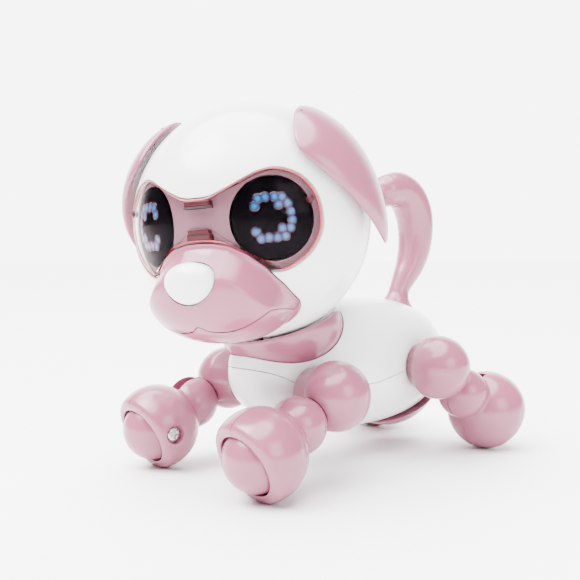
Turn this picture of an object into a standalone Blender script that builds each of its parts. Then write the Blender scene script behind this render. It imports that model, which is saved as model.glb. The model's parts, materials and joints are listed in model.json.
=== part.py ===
"""Robot puppy toy: a posable puppy with a domed head, lit eyes and a free roller in each paw.

Frame: metres, +Z up, the puppy faces -Y and its left side is +X. The origin is on the ground
under the middle of the toy. The pieces stand in the toy's lying, stretched pose.
"""

import math

import bmesh
import bpy
from mathutils import Matrix, Vector

MM = 0.001
CENTRE_SHIFT = 4.33 * MM  # from the shoulder-based measures below to the middle of the toy's length
GAP = 0.3 * MM  # running gap between neighbouring pieces
SEAM = 0.12 * MM  # half of the gap along a parting line

# Torso: an egg, fuller at the rump
TORSO_CENTRE = Vector((0, 7.0, 31.2)) * MM
TORSO_RADII = Vector((19.6, 44.0, 21.2)) * MM
TORSO_POWER = 2.3
TORSO_TAPER = 0.07
SHELL_WALL = 2.0 * MM
# The parting line of the torso shells in the side view (Y, Z), nose end first
TORSO_SEAM = ((-60, 34), (-36, 33), (-28, 30.5), (-21, 26), (5, 26.3), (25.8, 30.9), (70, 34))

# Neck collar and head
HEAD_CENTRE = Vector((0, -30.0, 77.3)) * MM
HEAD_R = 36 * MM
HEAD_YAW = math.radians(26.6)
HEAD_PITCH = math.radians(-4.9)
HEAD_ROLL = math.radians(-2.8)
HEAD_TURN = Matrix.Rotation(HEAD_PITCH, 4, "X") @ Matrix.Rotation(HEAD_ROLL, 4, "Y")
HEAD_WALL = 1.8 * MM
HEAD_SPLIT_Y = 16 * MM  # where the helmet's front and rear shells part
COLLAR_CENTRE = Vector((0, -19.2, 44.9)) * MM
COLLAR_RADII = Vector((19.6, 19.6, 15.2)) * MM
SOCKET_R = HEAD_R + 0.8 * MM
MUZZLE_CENTRE = Vector((0, -20.0, -21.5)) * MM
MUZZLE_RADII = Vector((21.5, 20.5, 15.4)) * MM
MUZZLE_POWER = 2.15
MUZZLE_FADE = 5.5 * MM  # over this width the muzzle rises from the head's own curve
MUZZLE_WALL = 1.9 * MM
EYE_AZIMUTH = math.radians(34.8)
EYE_ELEVATION = math.radians(-6.2)
EYE_R = 11.3 * MM
NOSE_Z = -21.0 * MM
NOSE_RADII = Vector((7.2, 4.5, 5.6)) * MM
POST_R = 3.0 * MM

# Legs: hip ball, knee ball and paw stand on one line
LEG_X = 26.4 * MM
HIP_R = 10.4 * MM
HIP_RIDGE = 2.6 * MM  # the dome ends this far inside the ball's centre
HUB_R = 7.3 * MM  # the cone from the dome to the torso: its narrow end, then its wide end
HUB_WIDE_R = 9.55 * MM
HUB_WIDE_AT = LEG_X - HIP_RIDGE - 0.5 * MM
HIP_TO_KNEE = 16.2 * MM
KNEE_R = 8.4 * MM
KNEE_TO_PAW = 14.8 * MM
PAW_R = 13.3 * MM
PAW_LIP = 5.9 * MM  # from the paw's centre to its front rim
PAW_FLAT = 0.3 * MM  # depth of the flat that the paw stands on
ROLLER_R = 9.6 * MM
ROLLER_HALF_WIDTH = 8.7 * MM
ROLLER_FORWARD = 1.4 * MM
ROLLER_GAP = 0.55 * MM
TONGUE_HALF = 2.0 * MM
TONGUE_R = 5.5 * MM
KNEE_SWING = math.radians(34)  # half of the tongue slot's mouth
AXLE_R = 2.0 * MM
# hip Y, drop of the upper leg and of the lower leg in degrees, X where the hub meets the torso
FRONT_LEG = (-20.6 * MM, 24.3, 24.5, 15.9 * MM)
REAR_LEG = (25.6 * MM, 37.5, 29.0, 19.0 * MM)
# name, side, direction along Y, measures
LEGS = (
    ("front_left", 1, -1, FRONT_LEG),
    ("front_right", -1, -1, FRONT_LEG),
    ("rear_left", 1, 1, REAR_LEG),
    ("rear_right", -1, 1, REAR_LEG),
)


def clear_scene():
    for obj in list(bpy.data.objects):
        bpy.data.objects.remove(obj, do_unlink=True)


def new_collection(name):
    collection = bpy.data.collections.new(name)
    bpy.context.scene.collection.children.link(collection)
    return collection


clear_scene()
PARTS = new_collection("robot_puppy")
CUTTERS = new_collection("cutters")
CUTTERS.hide_render = True


# ---------------------------------------------------------------- tools
def home(parent):
    """The frame that a piece is modelled in: its parent's or the toy's own."""
    return parent or bpy.data.objects.get("toy")


def hip_axle_at(measures):
    """(Y, Z) of a hip axle whose paws just stand on the ground."""
    hip_y, upper_drop, lower_drop, _ = measures
    knee_z = PAW_R - PAW_FLAT + KNEE_TO_PAW * math.sin(math.radians(lower_drop))
    return hip_y, knee_z + HIP_TO_KNEE * math.sin(math.radians(upper_drop))


def plastic(name, colour, roughness=0.3, metallic=0.0, alpha=1.0):
    material = bpy.data.materials.new(name)
    material.use_nodes = True
    shader = material.node_tree.nodes["Principled BSDF"]
    shader.inputs["Base Color"].default_value = (*colour, 1)
    shader.inputs["Roughness"].default_value = roughness
    shader.inputs["Metallic"].default_value = metallic
    shader.inputs["Alpha"].default_value = alpha
    return material


def frame(name, location=(0, 0, 0), matrix=None, parent=None):
    """An empty: the pieces parented to it are modelled in its frame."""
    parent = home(parent)
    empty = bpy.data.objects.new(name, None)
    PARTS.objects.link(empty)
    empty.parent = parent
    empty.matrix_local = Matrix.Translation(location) @ (matrix or Matrix.Identity(4))
    return empty


def add(name, bm, parent=None, cutter=False, smooth=35):
    """Turns a bmesh into an object; a cutter is a helper that isn't part of the toy."""
    bmesh.ops.recalc_face_normals(bm, faces=bm.faces)
    mesh = bpy.data.meshes.new(name)
    bm.to_mesh(mesh)
    bm.free()
    mesh.shade_smooth()
    mesh.set_sharp_from_angle(angle=math.radians(smooth))
    obj = bpy.data.objects.new(name, mesh)
    (CUTTERS if cutter else PARTS).objects.link(obj)
    obj.parent = home(parent)
    if cutter:
        obj.hide_render = True
        obj.display_type = "WIRE"
    return obj


def helper(bm, parent=None):
    return add("helper", bm, parent, cutter=True)


def ball(radii, centre=(0, 0, 0), power=2.0, segments=24, rings=12, taper=0.0):
    """An ellipsoid, squarer as power grows past 2, with its poles along Y and a fuller +Y end."""
    bm = bmesh.new()
    bmesh.ops.create_uvsphere(bm, u_segments=segments, v_segments=rings, radius=1)
    bmesh.ops.rotate(bm, verts=bm.verts, matrix=Matrix.Rotation(math.pi / 2, 3, "X"))
    radii = Vector(radii)
    for vert in bm.verts:
        d = vert.co.normalized()
        d /= sum(abs(c) ** power for c in d) ** (1 / power)
        width = 1 + taper * d.y
        d = Vector((d.x * radii.x * width, d.y * radii.y, d.z * radii.z * width))
        vert.co = d + Vector(centre)
    return bm


def cylinder(radius, low, high, axis="X", centre=(0, 0), segments=20, top_radius=None):
    """A cylinder or cone along axis from low to high; centre gives its other two coordinates."""
    bm = bmesh.new()
    bmesh.ops.create_cone(
        bm, cap_ends=True, segments=segments, radius1=radius,
        radius2=radius if top_radius is None else top_radius, depth=high - low,
    )
    a, b = centre
    middle = (low + high) / 2
    turn, place = {
        "X": (Matrix.Rotation(math.pi / 2, 4, "Y"), (middle, a, b)),
        "Y": (Matrix.Rotation(-math.pi / 2, 4, "X"), (a, middle, b)),
        "Z": (Matrix.Identity(4), (a, b, middle)),
    }[axis]
    bmesh.ops.transform(bm, verts=bm.verts, matrix=Matrix.Translation(place) @ turn)
    return bm


def box(low, high):
    bm = bmesh.new()
    bmesh.ops.create_cube(bm, size=1)
    low, high = Vector(low), Vector(high)
    for vert in bm.verts:
        vert.co = Vector(low[i] + (vert.co[i] + 0.5) * (high[i] - low[i]) for i in range(3))
    return bm


def prism(outline, low, high, axis="Y"):
    """A flat outline, (X, Z) points for axis Y or (Y, Z) points for axis X, pushed from low to high."""
    bm = bmesh.new()
    if axis == "Y":
        verts = [bm.verts.new((a, low, b)) for a, b in outline]
    else:
        verts = [bm.verts.new((low, a, b)) for a, b in outline]
    face = bm.faces.new(verts)
    pushed = bmesh.ops.extrude_face_region(bm, geom=[face])["geom"]
    step = Vector((0, high - low, 0)) if axis == "Y" else Vector((high - low, 0, 0))
    moved = [item for item in pushed if isinstance(item, bmesh.types.BMVert)]
    bmesh.ops.translate(bm, verts=moved, vec=step)
    return bm


def arc(radius, start, end, steps, centre=(0, 0)):
    """Points along an arc, with angles in degrees from the first axis to the second."""
    points = []
    for i in range(steps + 1):
        angle = math.radians(start + (end - start) * i / steps)
        points.append((centre[0] + radius * math.cos(angle), centre[1] + radius * math.sin(angle)))
    return points


# The middle of the toy's length is at the origin
frame("toy", (0, CENTRE_SHIFT, 0))


def turned(name, profile, parent, axis="X", centre=(0, 0, 0), segments=20, cutter=False):
    """A lathe shape: (radius, distance along axis) points, running down the outer side."""
    bm = bmesh.new()
    verts = [bm.verts.new((radius, 0, along)) for radius, along in profile]
    for first, second in zip(verts, verts[1:]):
        bm.edges.new((first, second))
    if profile[0][0] > 0:
        bm.edges.new((verts[-1], verts[0]))
    obj = add(name, bm, parent, cutter)
    turn = {
        "X": Matrix.Rotation(math.pi / 2, 4, "Y"),
        "-Y": Matrix.Rotation(math.pi / 2, 4, "X"),
        "Z": Matrix.Identity(4),
    }[axis]
    obj.matrix_local = Matrix.Translation(centre) @ turn
    screw = obj.modifiers.new("turn", "SCREW")
    screw.steps = screw.render_steps = segments
    screw.use_merge_vertices = True
    screw.merge_threshold = 0.01 * MM
    return obj


def boolean(obj, operation, others):
    for other in others:
        modifier = obj.modifiers.new(operation.lower(), "BOOLEAN")
        modifier.operation = operation
        modifier.object = other
    return obj


def cut(obj, *others):
    return boolean(obj, "DIFFERENCE", others)


def keep_inside(obj, *others):
    return boolean(obj, "INTERSECT", others)


def join(obj, *others):
    return boolean(obj, "UNION", others)


def finish(material, *objects):
    for obj in objects:
        obj.data.materials.append(material)


WHITE = plastic("gloss_white", (0.88, 0.88, 0.87), 0.22)
PINK = plastic("gloss_pink", (0.80, 0.45, 0.53), 0.25)
PLATE_PINK = plastic("greyish_pink", (0.75, 0.58, 0.60), 0.4)
VISOR_PINK = plastic("clear_pink", (0.80, 0.32, 0.38), 0.1, alpha=0.4)
BLACK = plastic("lens_black", (0.012, 0.012, 0.016), 0.1)
BOARD = plastic("circuit_board", (0.05, 0.22, 0.10), 0.5)
STEEL = plastic("steel", (0.55, 0.55, 0.56), 0.3, 1.0)
DARK = plastic("dark_plastic", (0.05, 0.05, 0.055), 0.4)


def screw_piece(name, parent, head_at, tip_at, axis="X", centre=(0, 0), head_r=2.25 * MM):
    """A cross-recess screw along axis: its head's outer face is at head_at, its tip at tip_at."""
    sign = 1 if head_at > tip_at else -1
    under_head = head_at - sign * 1.4 * MM
    low, high = sorted((head_at, under_head))
    screw = add(name, cylinder(head_r, low, high, axis, centre, 12), parent)
    low, high = sorted((under_head + sign * 0.4 * MM, tip_at))
    shank = helper(cylinder(1.0 * MM, low, high, axis, centre, 8), parent)
    join(screw, shank)
    depth = head_at - sign * 0.8 * MM
    for width, height in ((0.5, 1.5), (1.5, 0.5)):
        arms = {"X": (None, width, height), "Y": (width, None, height), "Z": (width, height, None)}[axis]
        low_corner, high_corner = [], []
        others = iter(centre)
        for size in arms:
            if size is None:
                ends = sorted((depth, head_at + sign * MM))
            else:
                middle = next(others)
                ends = (middle - size * MM, middle + size * MM)
            low_corner.append(ends[0])
            high_corner.append(ends[1])
        cut(screw, helper(box(low_corner, high_corner), parent))
    finish(STEEL, screw)
    return screw


# ---------------------------------------------------------------- legs
def lower_leg_profile():
    """The knee ball and the paw in section, from the paw's front rim back to the knee."""
    lip_r = 1.3 * MM
    lip_centre = (math.sqrt(PAW_R**2 - PAW_LIP**2) - 1.15 * lip_r, PAW_LIP - lip_r)
    lip = arc(lip_r, 90, 35, 2, lip_centre)
    crease = (KNEE_TO_PAW**2 + KNEE_R**2 - PAW_R**2) / (2 * KNEE_TO_PAW)
    paw_start = math.degrees(math.asin((PAW_LIP - 0.8 * MM) / PAW_R))
    paw_end = -math.degrees(math.asin((KNEE_TO_PAW - crease) / PAW_R))
    knee_start = math.degrees(math.asin(crease / KNEE_R))
    paw = arc(PAW_R, paw_start, paw_end, 6)
    knee = arc(KNEE_R, knee_start, -90, 4, (0, -KNEE_TO_PAW))
    return [(0, PAW_LIP)] + lip + paw + knee[1:-1] + [(0, -KNEE_TO_PAW - KNEE_R)]


def tongue_slot():
    """The knee's inside: a disc-shaped hollow with a mouth towards the hip, in (Y, Z)."""
    swing = math.degrees(KNEE_SWING)
    hollow = arc(TONGUE_R + 2 * GAP, swing + 22, 360 - swing - 22, 10)
    mouth = (KNEE_R + 2 * MM) / math.cos(KNEE_SWING)
    rim = [(mouth * math.cos(s * KNEE_SWING), mouth * math.sin(s * KNEE_SWING)) for s in (-1, 1)]
    return hollow + rim


def build_leg(name, side, along_y, measures):
    """In the leg's frame -Y runs from hip to paw and +X points away from the torso."""
    # Half turns place the four legs without mirroring them
    facing = Matrix.Identity(4)
    if side < 0:
        facing = Matrix.Rotation(math.pi, 4, "Y")
    if along_y > 0:
        facing = Matrix.Rotation(math.pi, 4, "X") @ facing
    tilt = -along_y
    _, upper_drop, lower_drop, hub_end = measures
    hip = frame(
        name + "_hip", Vector((side * LEG_X, *hip_axle_at(measures))),
        Matrix.Rotation(tilt * math.radians(upper_drop), 4, "X") @ facing,
    )
    hub = LEG_X - hub_end
    up = side * -along_y  # +1 where the leg's own Z points up
    bend = up * math.radians(lower_drop - upper_drop)
    knee = frame(
        name + "_knee", Vector((0, -HIP_TO_KNEE, 0)), Matrix.Rotation(bend, 4, "X"), hip
    )
    paw = frame(name + "_paw", Vector((0, -KNEE_TO_PAW, 0)), None, knee)

    # Upper leg: hip dome, conical hub towards the torso, and the tongue that the knee turns on
    dome = arc(HIP_R, 90, -math.degrees(math.asin(HIP_RIDGE / HIP_R)), 5)
    profile = [(0, HIP_R)] + dome[1:] + [(HUB_WIDE_R, HUB_WIDE_AT - LEG_X)]
    profile += [(HUB_R, -hub), (AXLE_R + GAP, -hub), (AXLE_R + GAP, 5 * MM), (0, 5 * MM)]
    upper = turned(name + "_upper_leg", profile, hip, "X", segments=20)
    cut(upper, helper(ball([KNEE_R + GAP] * 3, (0, -HIP_TO_KNEE, 0), segments=14, rings=8), hip))
    eye = helper(
        cylinder(TONGUE_R, -TONGUE_HALF, TONGUE_HALF, "X", (-HIP_TO_KNEE, 0), 14), hip
    )
    neck = helper(
        box((-TONGUE_HALF, -HIP_TO_KNEE, -2.5 * MM), (TONGUE_HALF, -5 * MM, 2.5 * MM)), hip
    )
    join(upper, eye, neck)
    pin_hole = cylinder(1.9 * MM, -3 * MM, 3 * MM, "X", (-HIP_TO_KNEE, 0), 12)
    cut(upper, helper(pin_hole, hip))

    # Lower leg: two halves that clamp the tongue and the roller between them
    slot = prism(tongue_slot(), -TONGUE_HALF - GAP, TONGUE_HALF + GAP, "X")
    slot = helper(slot, knee)
    ground = helper(box((-60 * MM, -90 * MM, -5 * MM), (60 * MM, 90 * MM, 0)))
    hollow = helper(
        ball([ROLLER_R + ROLLER_GAP] * 3, (0, -ROLLER_FORWARD, 0), segments=16, rings=8), paw
    )
    reach = 40 * MM
    centre = (-ROLLER_FORWARD, 0)
    halves = {}
    for half, sign in (("outer", 1), ("inner", -1)):
        body = turned(f"{name}_paw_{half}", lower_leg_profile(), paw, "-Y", segments=20)
        ends = sorted((sign * SEAM, sign * reach))
        keep_inside(body, helper(box((ends[0], -reach, -reach), (ends[1], reach, reach)), paw))
        cut(body, hollow, slot, ground)
        halves[half] = body
    outer, inner = halves["outer"], halves["inner"]
    boss = cylinder(AXLE_R, -ROLLER_R, ROLLER_R + 2 * MM, "X", centre, 14)
    pivot = cylinder(1.6 * MM, -5 * MM, TONGUE_HALF + 2 * MM, "X", (0, 0), 12)
    join(outer, helper(boss, paw), helper(pivot, knee))
    cut(outer, helper(cylinder(1.25 * MM, -11 * MM, -4 * MM, "X", centre, 10), paw))
    cut(inner, helper(cylinder(1.9 * MM, -5.4 * MM, 0, "X", (0, 0), 12), knee))
    cut(inner, helper(cylinder(3.0 * MM, -16 * MM, -11.3 * MM, "X", centre, 18), paw))
    cut(inner, helper(cylinder(1.3 * MM, -13 * MM, -9 * MM, "X", centre, 10), paw))

    roller_profile = [(AXLE_R + GAP, ROLLER_HALF_WIDTH)]
    for i in range(-3, 4):
        along = -ROLLER_HALF_WIDTH * math.sin(math.radians(30 * i))
        bulge = math.sqrt(1 - (along / (ROLLER_R * 0.97)) ** 2)
        roller_profile.append((ROLLER_R * bulge, along))
    roller_profile.append((AXLE_R + GAP, -ROLLER_HALF_WIDTH))
    roller = turned(
        name + "_paw_roller", roller_profile, paw, "X", (0, -ROLLER_FORWARD, 0), 18
    )
    screw_piece(name + "_paw_screw", paw, -12.7 * MM, -5.5 * MM, "X", centre)
    axle_low = -(LEG_X - 10.5 * MM)
    axle = add(name + "_hip_axle", cylinder(AXLE_R, axle_low, 4.5 * MM, "X", (0, 0), 14), hip)
    finish(PINK, upper, outer, inner, roller)
    finish(STEEL, axle)
    return hip


# ---------------------------------------------------------------- torso
def torso_egg(shrink=0.0, segments=28, rings=16):
    radii = [r - shrink for r in TORSO_RADII]
    return ball(radii, TORSO_CENTRE, TORSO_POWER, segments, rings, TORSO_TAPER)


def seam_block(above):
    """Everything above, or below, the torso's parting line."""
    sign = 1 if above else -1
    line = [(y * MM, z * MM - sign * SEAM) for y, z in TORSO_SEAM]
    far = (150 if above else -90) * MM
    outline = line + [(line[-1][0], far), (line[0][0], far)]
    return helper(prism(outline, -40 * MM, 40 * MM, "X"))


# The battery cover closes the rump's underside, below a sloping plane in the side view
COVER_FRONT = (19.0, 9.0)
COVER_REAR = (47.5, 19.5)
COVER_WIDTH = 17.0
COVER_CENTRE = Vector((0, 29.5, 27.0)) * MM
COVER_RADII = Vector((15.5, 20.0, 18.6)) * MM
CELL_Y, CELL_Z = 33.0 * MM, 23.3 * MM  # middle of the row of button cells


def under_cover_plane(raise_by, half_width):
    slope_front = (COVER_FRONT[0] * MM, COVER_FRONT[1] * MM + raise_by)
    slope_rear = (COVER_REAR[0] * MM, COVER_REAR[1] * MM + raise_by)
    outline = [slope_front, slope_rear, (slope_rear[0] + 20 * MM, -10 * MM)]
    outline.append((slope_front[0] - 4 * MM, -10 * MM))
    return helper(prism(outline, -half_width * MM, half_width * MM, "X"))


def tail_frame():
    return frame("tail_swivel", TAIL_SEAT, Matrix.Rotation(TAIL_TILT, 4, "X"))


def build_torso():
    cavity = helper(torso_egg(SHELL_WALL, 20, 12))
    hips = [hip_axle_at(measures) for measures in (FRONT_LEG, REAR_LEG)]
    pillars = [cylinder(9 * MM, -40 * MM, 40 * MM, "X", hip, 16) for hip in hips]
    core = helper(box((-13.4 * MM, -60 * MM, 0), (13.4 * MM, 60 * MM, 60 * MM)))
    side_bosses = [cut(helper(pillar), core) for pillar in pillars]
    cut(cavity, *side_bosses)
    upper = add("body_shell_upper", torso_egg())
    lower = add("body_shell_lower", torso_egg())
    pockets = []
    for _, side, _, measures in LEGS:
        ends = sorted((side * (measures[3] - GAP), side * HUB_WIDE_AT))
        radii = (HUB_R + 0.5 * MM, HUB_WIDE_R + 0.6 * MM)[::side]
        pocket = cylinder(radii[0], *ends, "X", hip_axle_at(measures), 20, radii[1])
        pockets.append(helper(pocket))
    bores = [
        helper(cylinder(AXLE_R + GAP / 2, -40 * MM, 40 * MM, "X", hip, 12)) for hip in hips
    ]
    neck_hole = helper(
        ball([r + GAP for r in COLLAR_RADII], COLLAR_CENTRE, segments=22, rings=11)
    )
    cut(upper, cavity, seam_block(False), neck_hole, *pockets, *bores)
    cut(lower, cavity, seam_block(True), *pockets, *bores)
    cover_screw_hole = helper(cylinder(1.3 * MM, 0, 30 * MM, "Z", (0, 25 * MM), 10))
    screw_well = helper(cylinder(2.9 * MM, 0, 11.2 * MM, "Z", (0, 25 * MM), 14))
    cut(lower, under_cover_plane(GAP, COVER_WIDTH + 0.3), cover_screw_hole, screw_well)
    seat = tail_frame()
    cut(upper, helper(cylinder(6.4 * MM, 0, 12 * MM, "Z", segments=18), seat))
    cut(upper, helper(cylinder(2.3 * MM, -8 * MM, 4 * MM, "Z", segments=12), seat))

    # The collar is a bowl whose top is hollowed to the head's own curve
    collar = add("neck_collar", ball(COLLAR_RADII, COLLAR_CENTRE, segments=26, rings=14))
    socket = helper(ball([SOCKET_R] * 3, HEAD_CENTRE, segments=28, rings=16))
    cut(collar, socket)
    well = helper(cylinder(4.7 * MM, 25 * MM, 37.6 * MM, "Z", HEAD_CENTRE.xy, 18))
    post_hole = cylinder(POST_R + GAP, 30 * MM, 50 * MM, "Z", HEAD_CENTRE.xy, 18)
    cut(collar, well, helper(post_hole))
    cut(upper, well)

    cover = add("battery_cover", ball(COVER_RADII, COVER_CENTRE, segments=24, rings=14))
    keep_inside(cover, under_cover_plane(-GAP, COVER_WIDTH))
    slot_low = (-2.2 * MM, 41.0 * MM, 10 * MM)
    slot_high = (2.2 * MM, 46.0 * MM, 24 * MM)
    slot = helper(box(slot_low, slot_high))
    cut(cover, slot)
    cut(lower, slot)
    cut(cover, screw_well, cover_screw_hole)
    knob = add("power_switch", box((-1.8 * MM, 43.2 * MM, 15.8 * MM), (1.8 * MM, 45.7 * MM, 21.5 * MM)))
    screw_piece("battery_cover_screw", None, 9.6 * MM, 13.4 * MM, "Z", (0, 25 * MM))

    # Works inside the torso
    cells = []
    for i in range(3):
        low = (i * 5.7 - 8.4) * MM
        cells.append(
            add(f"button_cell_{i + 1}", cylinder(5.8 * MM, low, low + 5.4 * MM, "X", (CELL_Y, CELL_Z), 16))
        )
    board = add("main_board", box((-9 * MM, -4 * MM, 33 * MM), (9 * MM, 34 * MM, 34.2 * MM)))
    speaker = add("speaker", cylinder(9 * MM, 14.5 * MM, 18.5 * MM, "Z", (0, 4 * MM), 20))
    magnet = helper(cylinder(5 * MM, 18 * MM, 21.5 * MM, "Z", (0, 4 * MM), 16))
    join(speaker, magnet)
    finish(WHITE, upper, lower)
    finish(PINK, collar, cover)
    finish(STEEL, *cells)
    finish(BOARD, board)
    finish(DARK, speaker, knob)
    build_battery_spring()


def build_battery_spring():
    """A coil that presses the row of cells from the puppy's right."""
    turns, per_turn, radius, wire = 2.0, 10, 3.0 * MM, 0.3 * MM
    start, length = -11.3 * MM, 2.3 * MM
    curve = bpy.data.curves.new("battery_spring", "CURVE")
    curve.dimensions = "3D"
    curve.bevel_depth = wire
    curve.bevel_resolution = 1
    curve.use_fill_caps = True
    spline = curve.splines.new("POLY")
    count = int(turns * per_turn) + 1
    spline.points.add(count - 1)
    for i in range(count):
        angle = 2 * math.pi * i / per_turn
        along = start + length * i / (count - 1)
        y = CELL_Y + radius * math.cos(angle)
        z = CELL_Z + radius * math.sin(angle)
        spline.points[i].co = (along, y, z, 1)
    spring = bpy.data.objects.new("battery_spring", curve)
    PARTS.objects.link(spring)
    spring.parent = home(None)
    curve.materials.append(STEEL)


# ---------------------------------------------------------------- tail
TAIL_SEAT = Vector((0, 34.6, 48.7)) * MM
TAIL_TILT = math.radians(-17)  # the tail's swivel axis leans back, square to the rump
# Centre line of the tail (Y, Z) and its radius there, root first
TAIL_LINE = (
    (36.2, 54.8, 3.5), (38.6, 58.0, 4.3), (41.8, 63.0, 5.1), (44.0, 69.0, 5.8), (44.8, 75.5, 6.3),
    (43.8, 82.0, 6.6), (40.4, 87.4, 6.6), (35.2, 90.0, 6.3), (29.8, 89.4, 5.6), (26.2, 87.4, 4.2),
)


def build_tail():
    """A banana of round sections on a trumpet-shaped foot."""
    bm = bmesh.new()
    sides = 14
    rings = []
    points = [Vector((0, y, z)) * MM for y, z, _ in TAIL_LINE]
    radii = [r * MM for _, _, r in TAIL_LINE]
    foot = (
        (Vector((0, 34.4, 48.2)) * MM, 5.7 * MM), (Vector((0, 34.8, 50.2)) * MM, 5.0 * MM),
        (Vector((0, 35.3, 52.2)) * MM, 3.9 * MM),
    )
    points = [p for p, _ in foot] + points
    radii = [r for _, r in foot] + radii
    for i, (point, radius) in enumerate(zip(points, radii)):
        before, after = points[max(i - 1, 0)], points[min(i + 1, len(points) - 1)]
        along = (after - before).normalized()
        if i < len(foot):
            along = Vector((0, 0.3, 1)).normalized()
        across = Vector((1, 0, 0))
        up = across.cross(along)
        ring = []
        for k in range(sides):
            angle = 2 * math.pi * k / sides
            offset = across * math.cos(angle) + up * math.sin(angle)
            ring.append(bm.verts.new(point + offset * radius))
        rings.append(ring)
    for first, second in zip(rings, rings[1:]):
        for k in range(sides):
            n = (k + 1) % sides
            bm.faces.new((first[k], first[n], second[n], second[k]))
    tip_along = (points[-1] - points[-2]).normalized()
    tip = bm.verts.new(points[-1] + tip_along * radii[-1] * 0.45)
    for k in range(sides):
        bm.faces.new((rings[-1][k], rings[-1][(k + 1) % sides], tip))
    bm.faces.new(rings[0])
    tail = add("tail", bm)
    swivel = bpy.data.objects["tail_swivel"]
    far = 20 * MM
    cut(tail, helper(box((-far, -far, -far), (far, far, GAP)), swivel))
    join(tail, helper(cylinder(1.9 * MM, -2.2 * MM, 4 * MM, "Z", segments=12), swivel))
    cut(tail, helper(cylinder(1.2 * MM, -8 * MM, 5 * MM, "Z", segments=8), swivel))
    screw_piece("tail_screw", swivel, -4.3 * MM, 4 * MM, "Z", (0, 0), 2.8 * MM)
    finish(PINK, tail)


# ---------------------------------------------------------------- head
# Outlines in the head's front view (X, Z); each is given on the left side and mirrored
GOGGLE = (
    (0, 1.9), (4, 2.2), (12.3, 6.3), (20, 9.9), (25.2, 8.5), (28.6, 4.5), (30.2, -0.8), (30.0, -6.7),
    (27.2, -12.2), (23.0, -16.1), (18.8, -17.9), (16.4, -16.4), (12.8, -13.1), (8.8, -10.9), (0, -9.9),
)
MUZZLE = (
    (0, -10.2), (8.8, -11.2), (12.8, -13.4), (16.6, -16.9), (19.4, -21.2), (20.9, -25.4),
    (21.2, -29.0), (19.0, -45.0),
)
MOUTH = ((26, -19.5), (20.8, -25.6), (15, -30.8), (8.5, -33.6), (3, -33.7), (0, -32.5))
MUZZLE_BACK = -9.5 * MM
SCREW_X, SCREW_Z = 21 * MM, -12.5 * MM  # the two helmet screws
# Angles about the head's Y axis, from the crown
EAR_ROOT = math.radians(33)
EAR_TIP = math.radians(102)
EAR_PIN_ROLL = math.radians(42)
EAR_PIN_Y = -9.0 * MM
EAR_PIN_R = 1.4 * MM


def mirrored(half, grow=0.0):
    """Both sides of an outline whose first point is on the middle line, grown outwards."""
    left = [Vector((x, z)) * MM for x, z in half]
    right = [Vector((-x, z)) * MM for x, z in half if x > 0]
    points = left + list(reversed(right))
    if not grow:
        return [tuple(p) for p in points]
    grown = []
    for i, point in enumerate(points):
        before, after = points[i - 1], points[(i + 1) % len(points)]
        along = (after - before).normalized()
        grown.append(tuple(point + Vector((-along.y, along.x)) * grow))
    return grown


def shell_ball(outer, segments=30, rings=18):
    return ball([outer] * 3, segments=segments, rings=rings)


def ellipse(radius_x, radius_z, centre_z, steps=16):
    points = []
    for i in range(steps):
        angle = 2 * math.pi * i / steps
        points.append((radius_x * math.cos(angle), centre_z + radius_z * math.sin(angle)))
    return points


def eye_direction(side):
    flat = math.cos(EYE_ELEVATION)
    return Vector(
        (side * math.sin(EYE_AZIMUTH) * flat, -math.cos(EYE_AZIMUTH) * flat, math.sin(EYE_ELEVATION))
    )


def eye_tube(head, side, radius):
    """A cylinder from the head's middle out through one eye."""
    bm = cylinder(radius, 15 * MM, 45 * MM, "Z", segments=26)
    turn = eye_direction(side).to_track_quat("Z", "Y").to_matrix().to_4x4()
    bmesh.ops.transform(bm, verts=bm.verts, matrix=turn)
    return helper(bm, head)


def ear_pin(head, side, radius, low, high):
    """The pin that an ear turns on: it points straight out from the head's middle."""
    bm = cylinder(radius, low, high, "Z", segments=12)
    axis = Vector((side * math.sin(EAR_PIN_ROLL), EAR_PIN_Y / HEAD_R, math.cos(EAR_PIN_ROLL)))
    turn = axis.to_track_quat("Z", "Y").to_matrix().to_4x4()
    bmesh.ops.transform(bm, verts=bm.verts, matrix=turn)
    return helper(bm, head)


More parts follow.
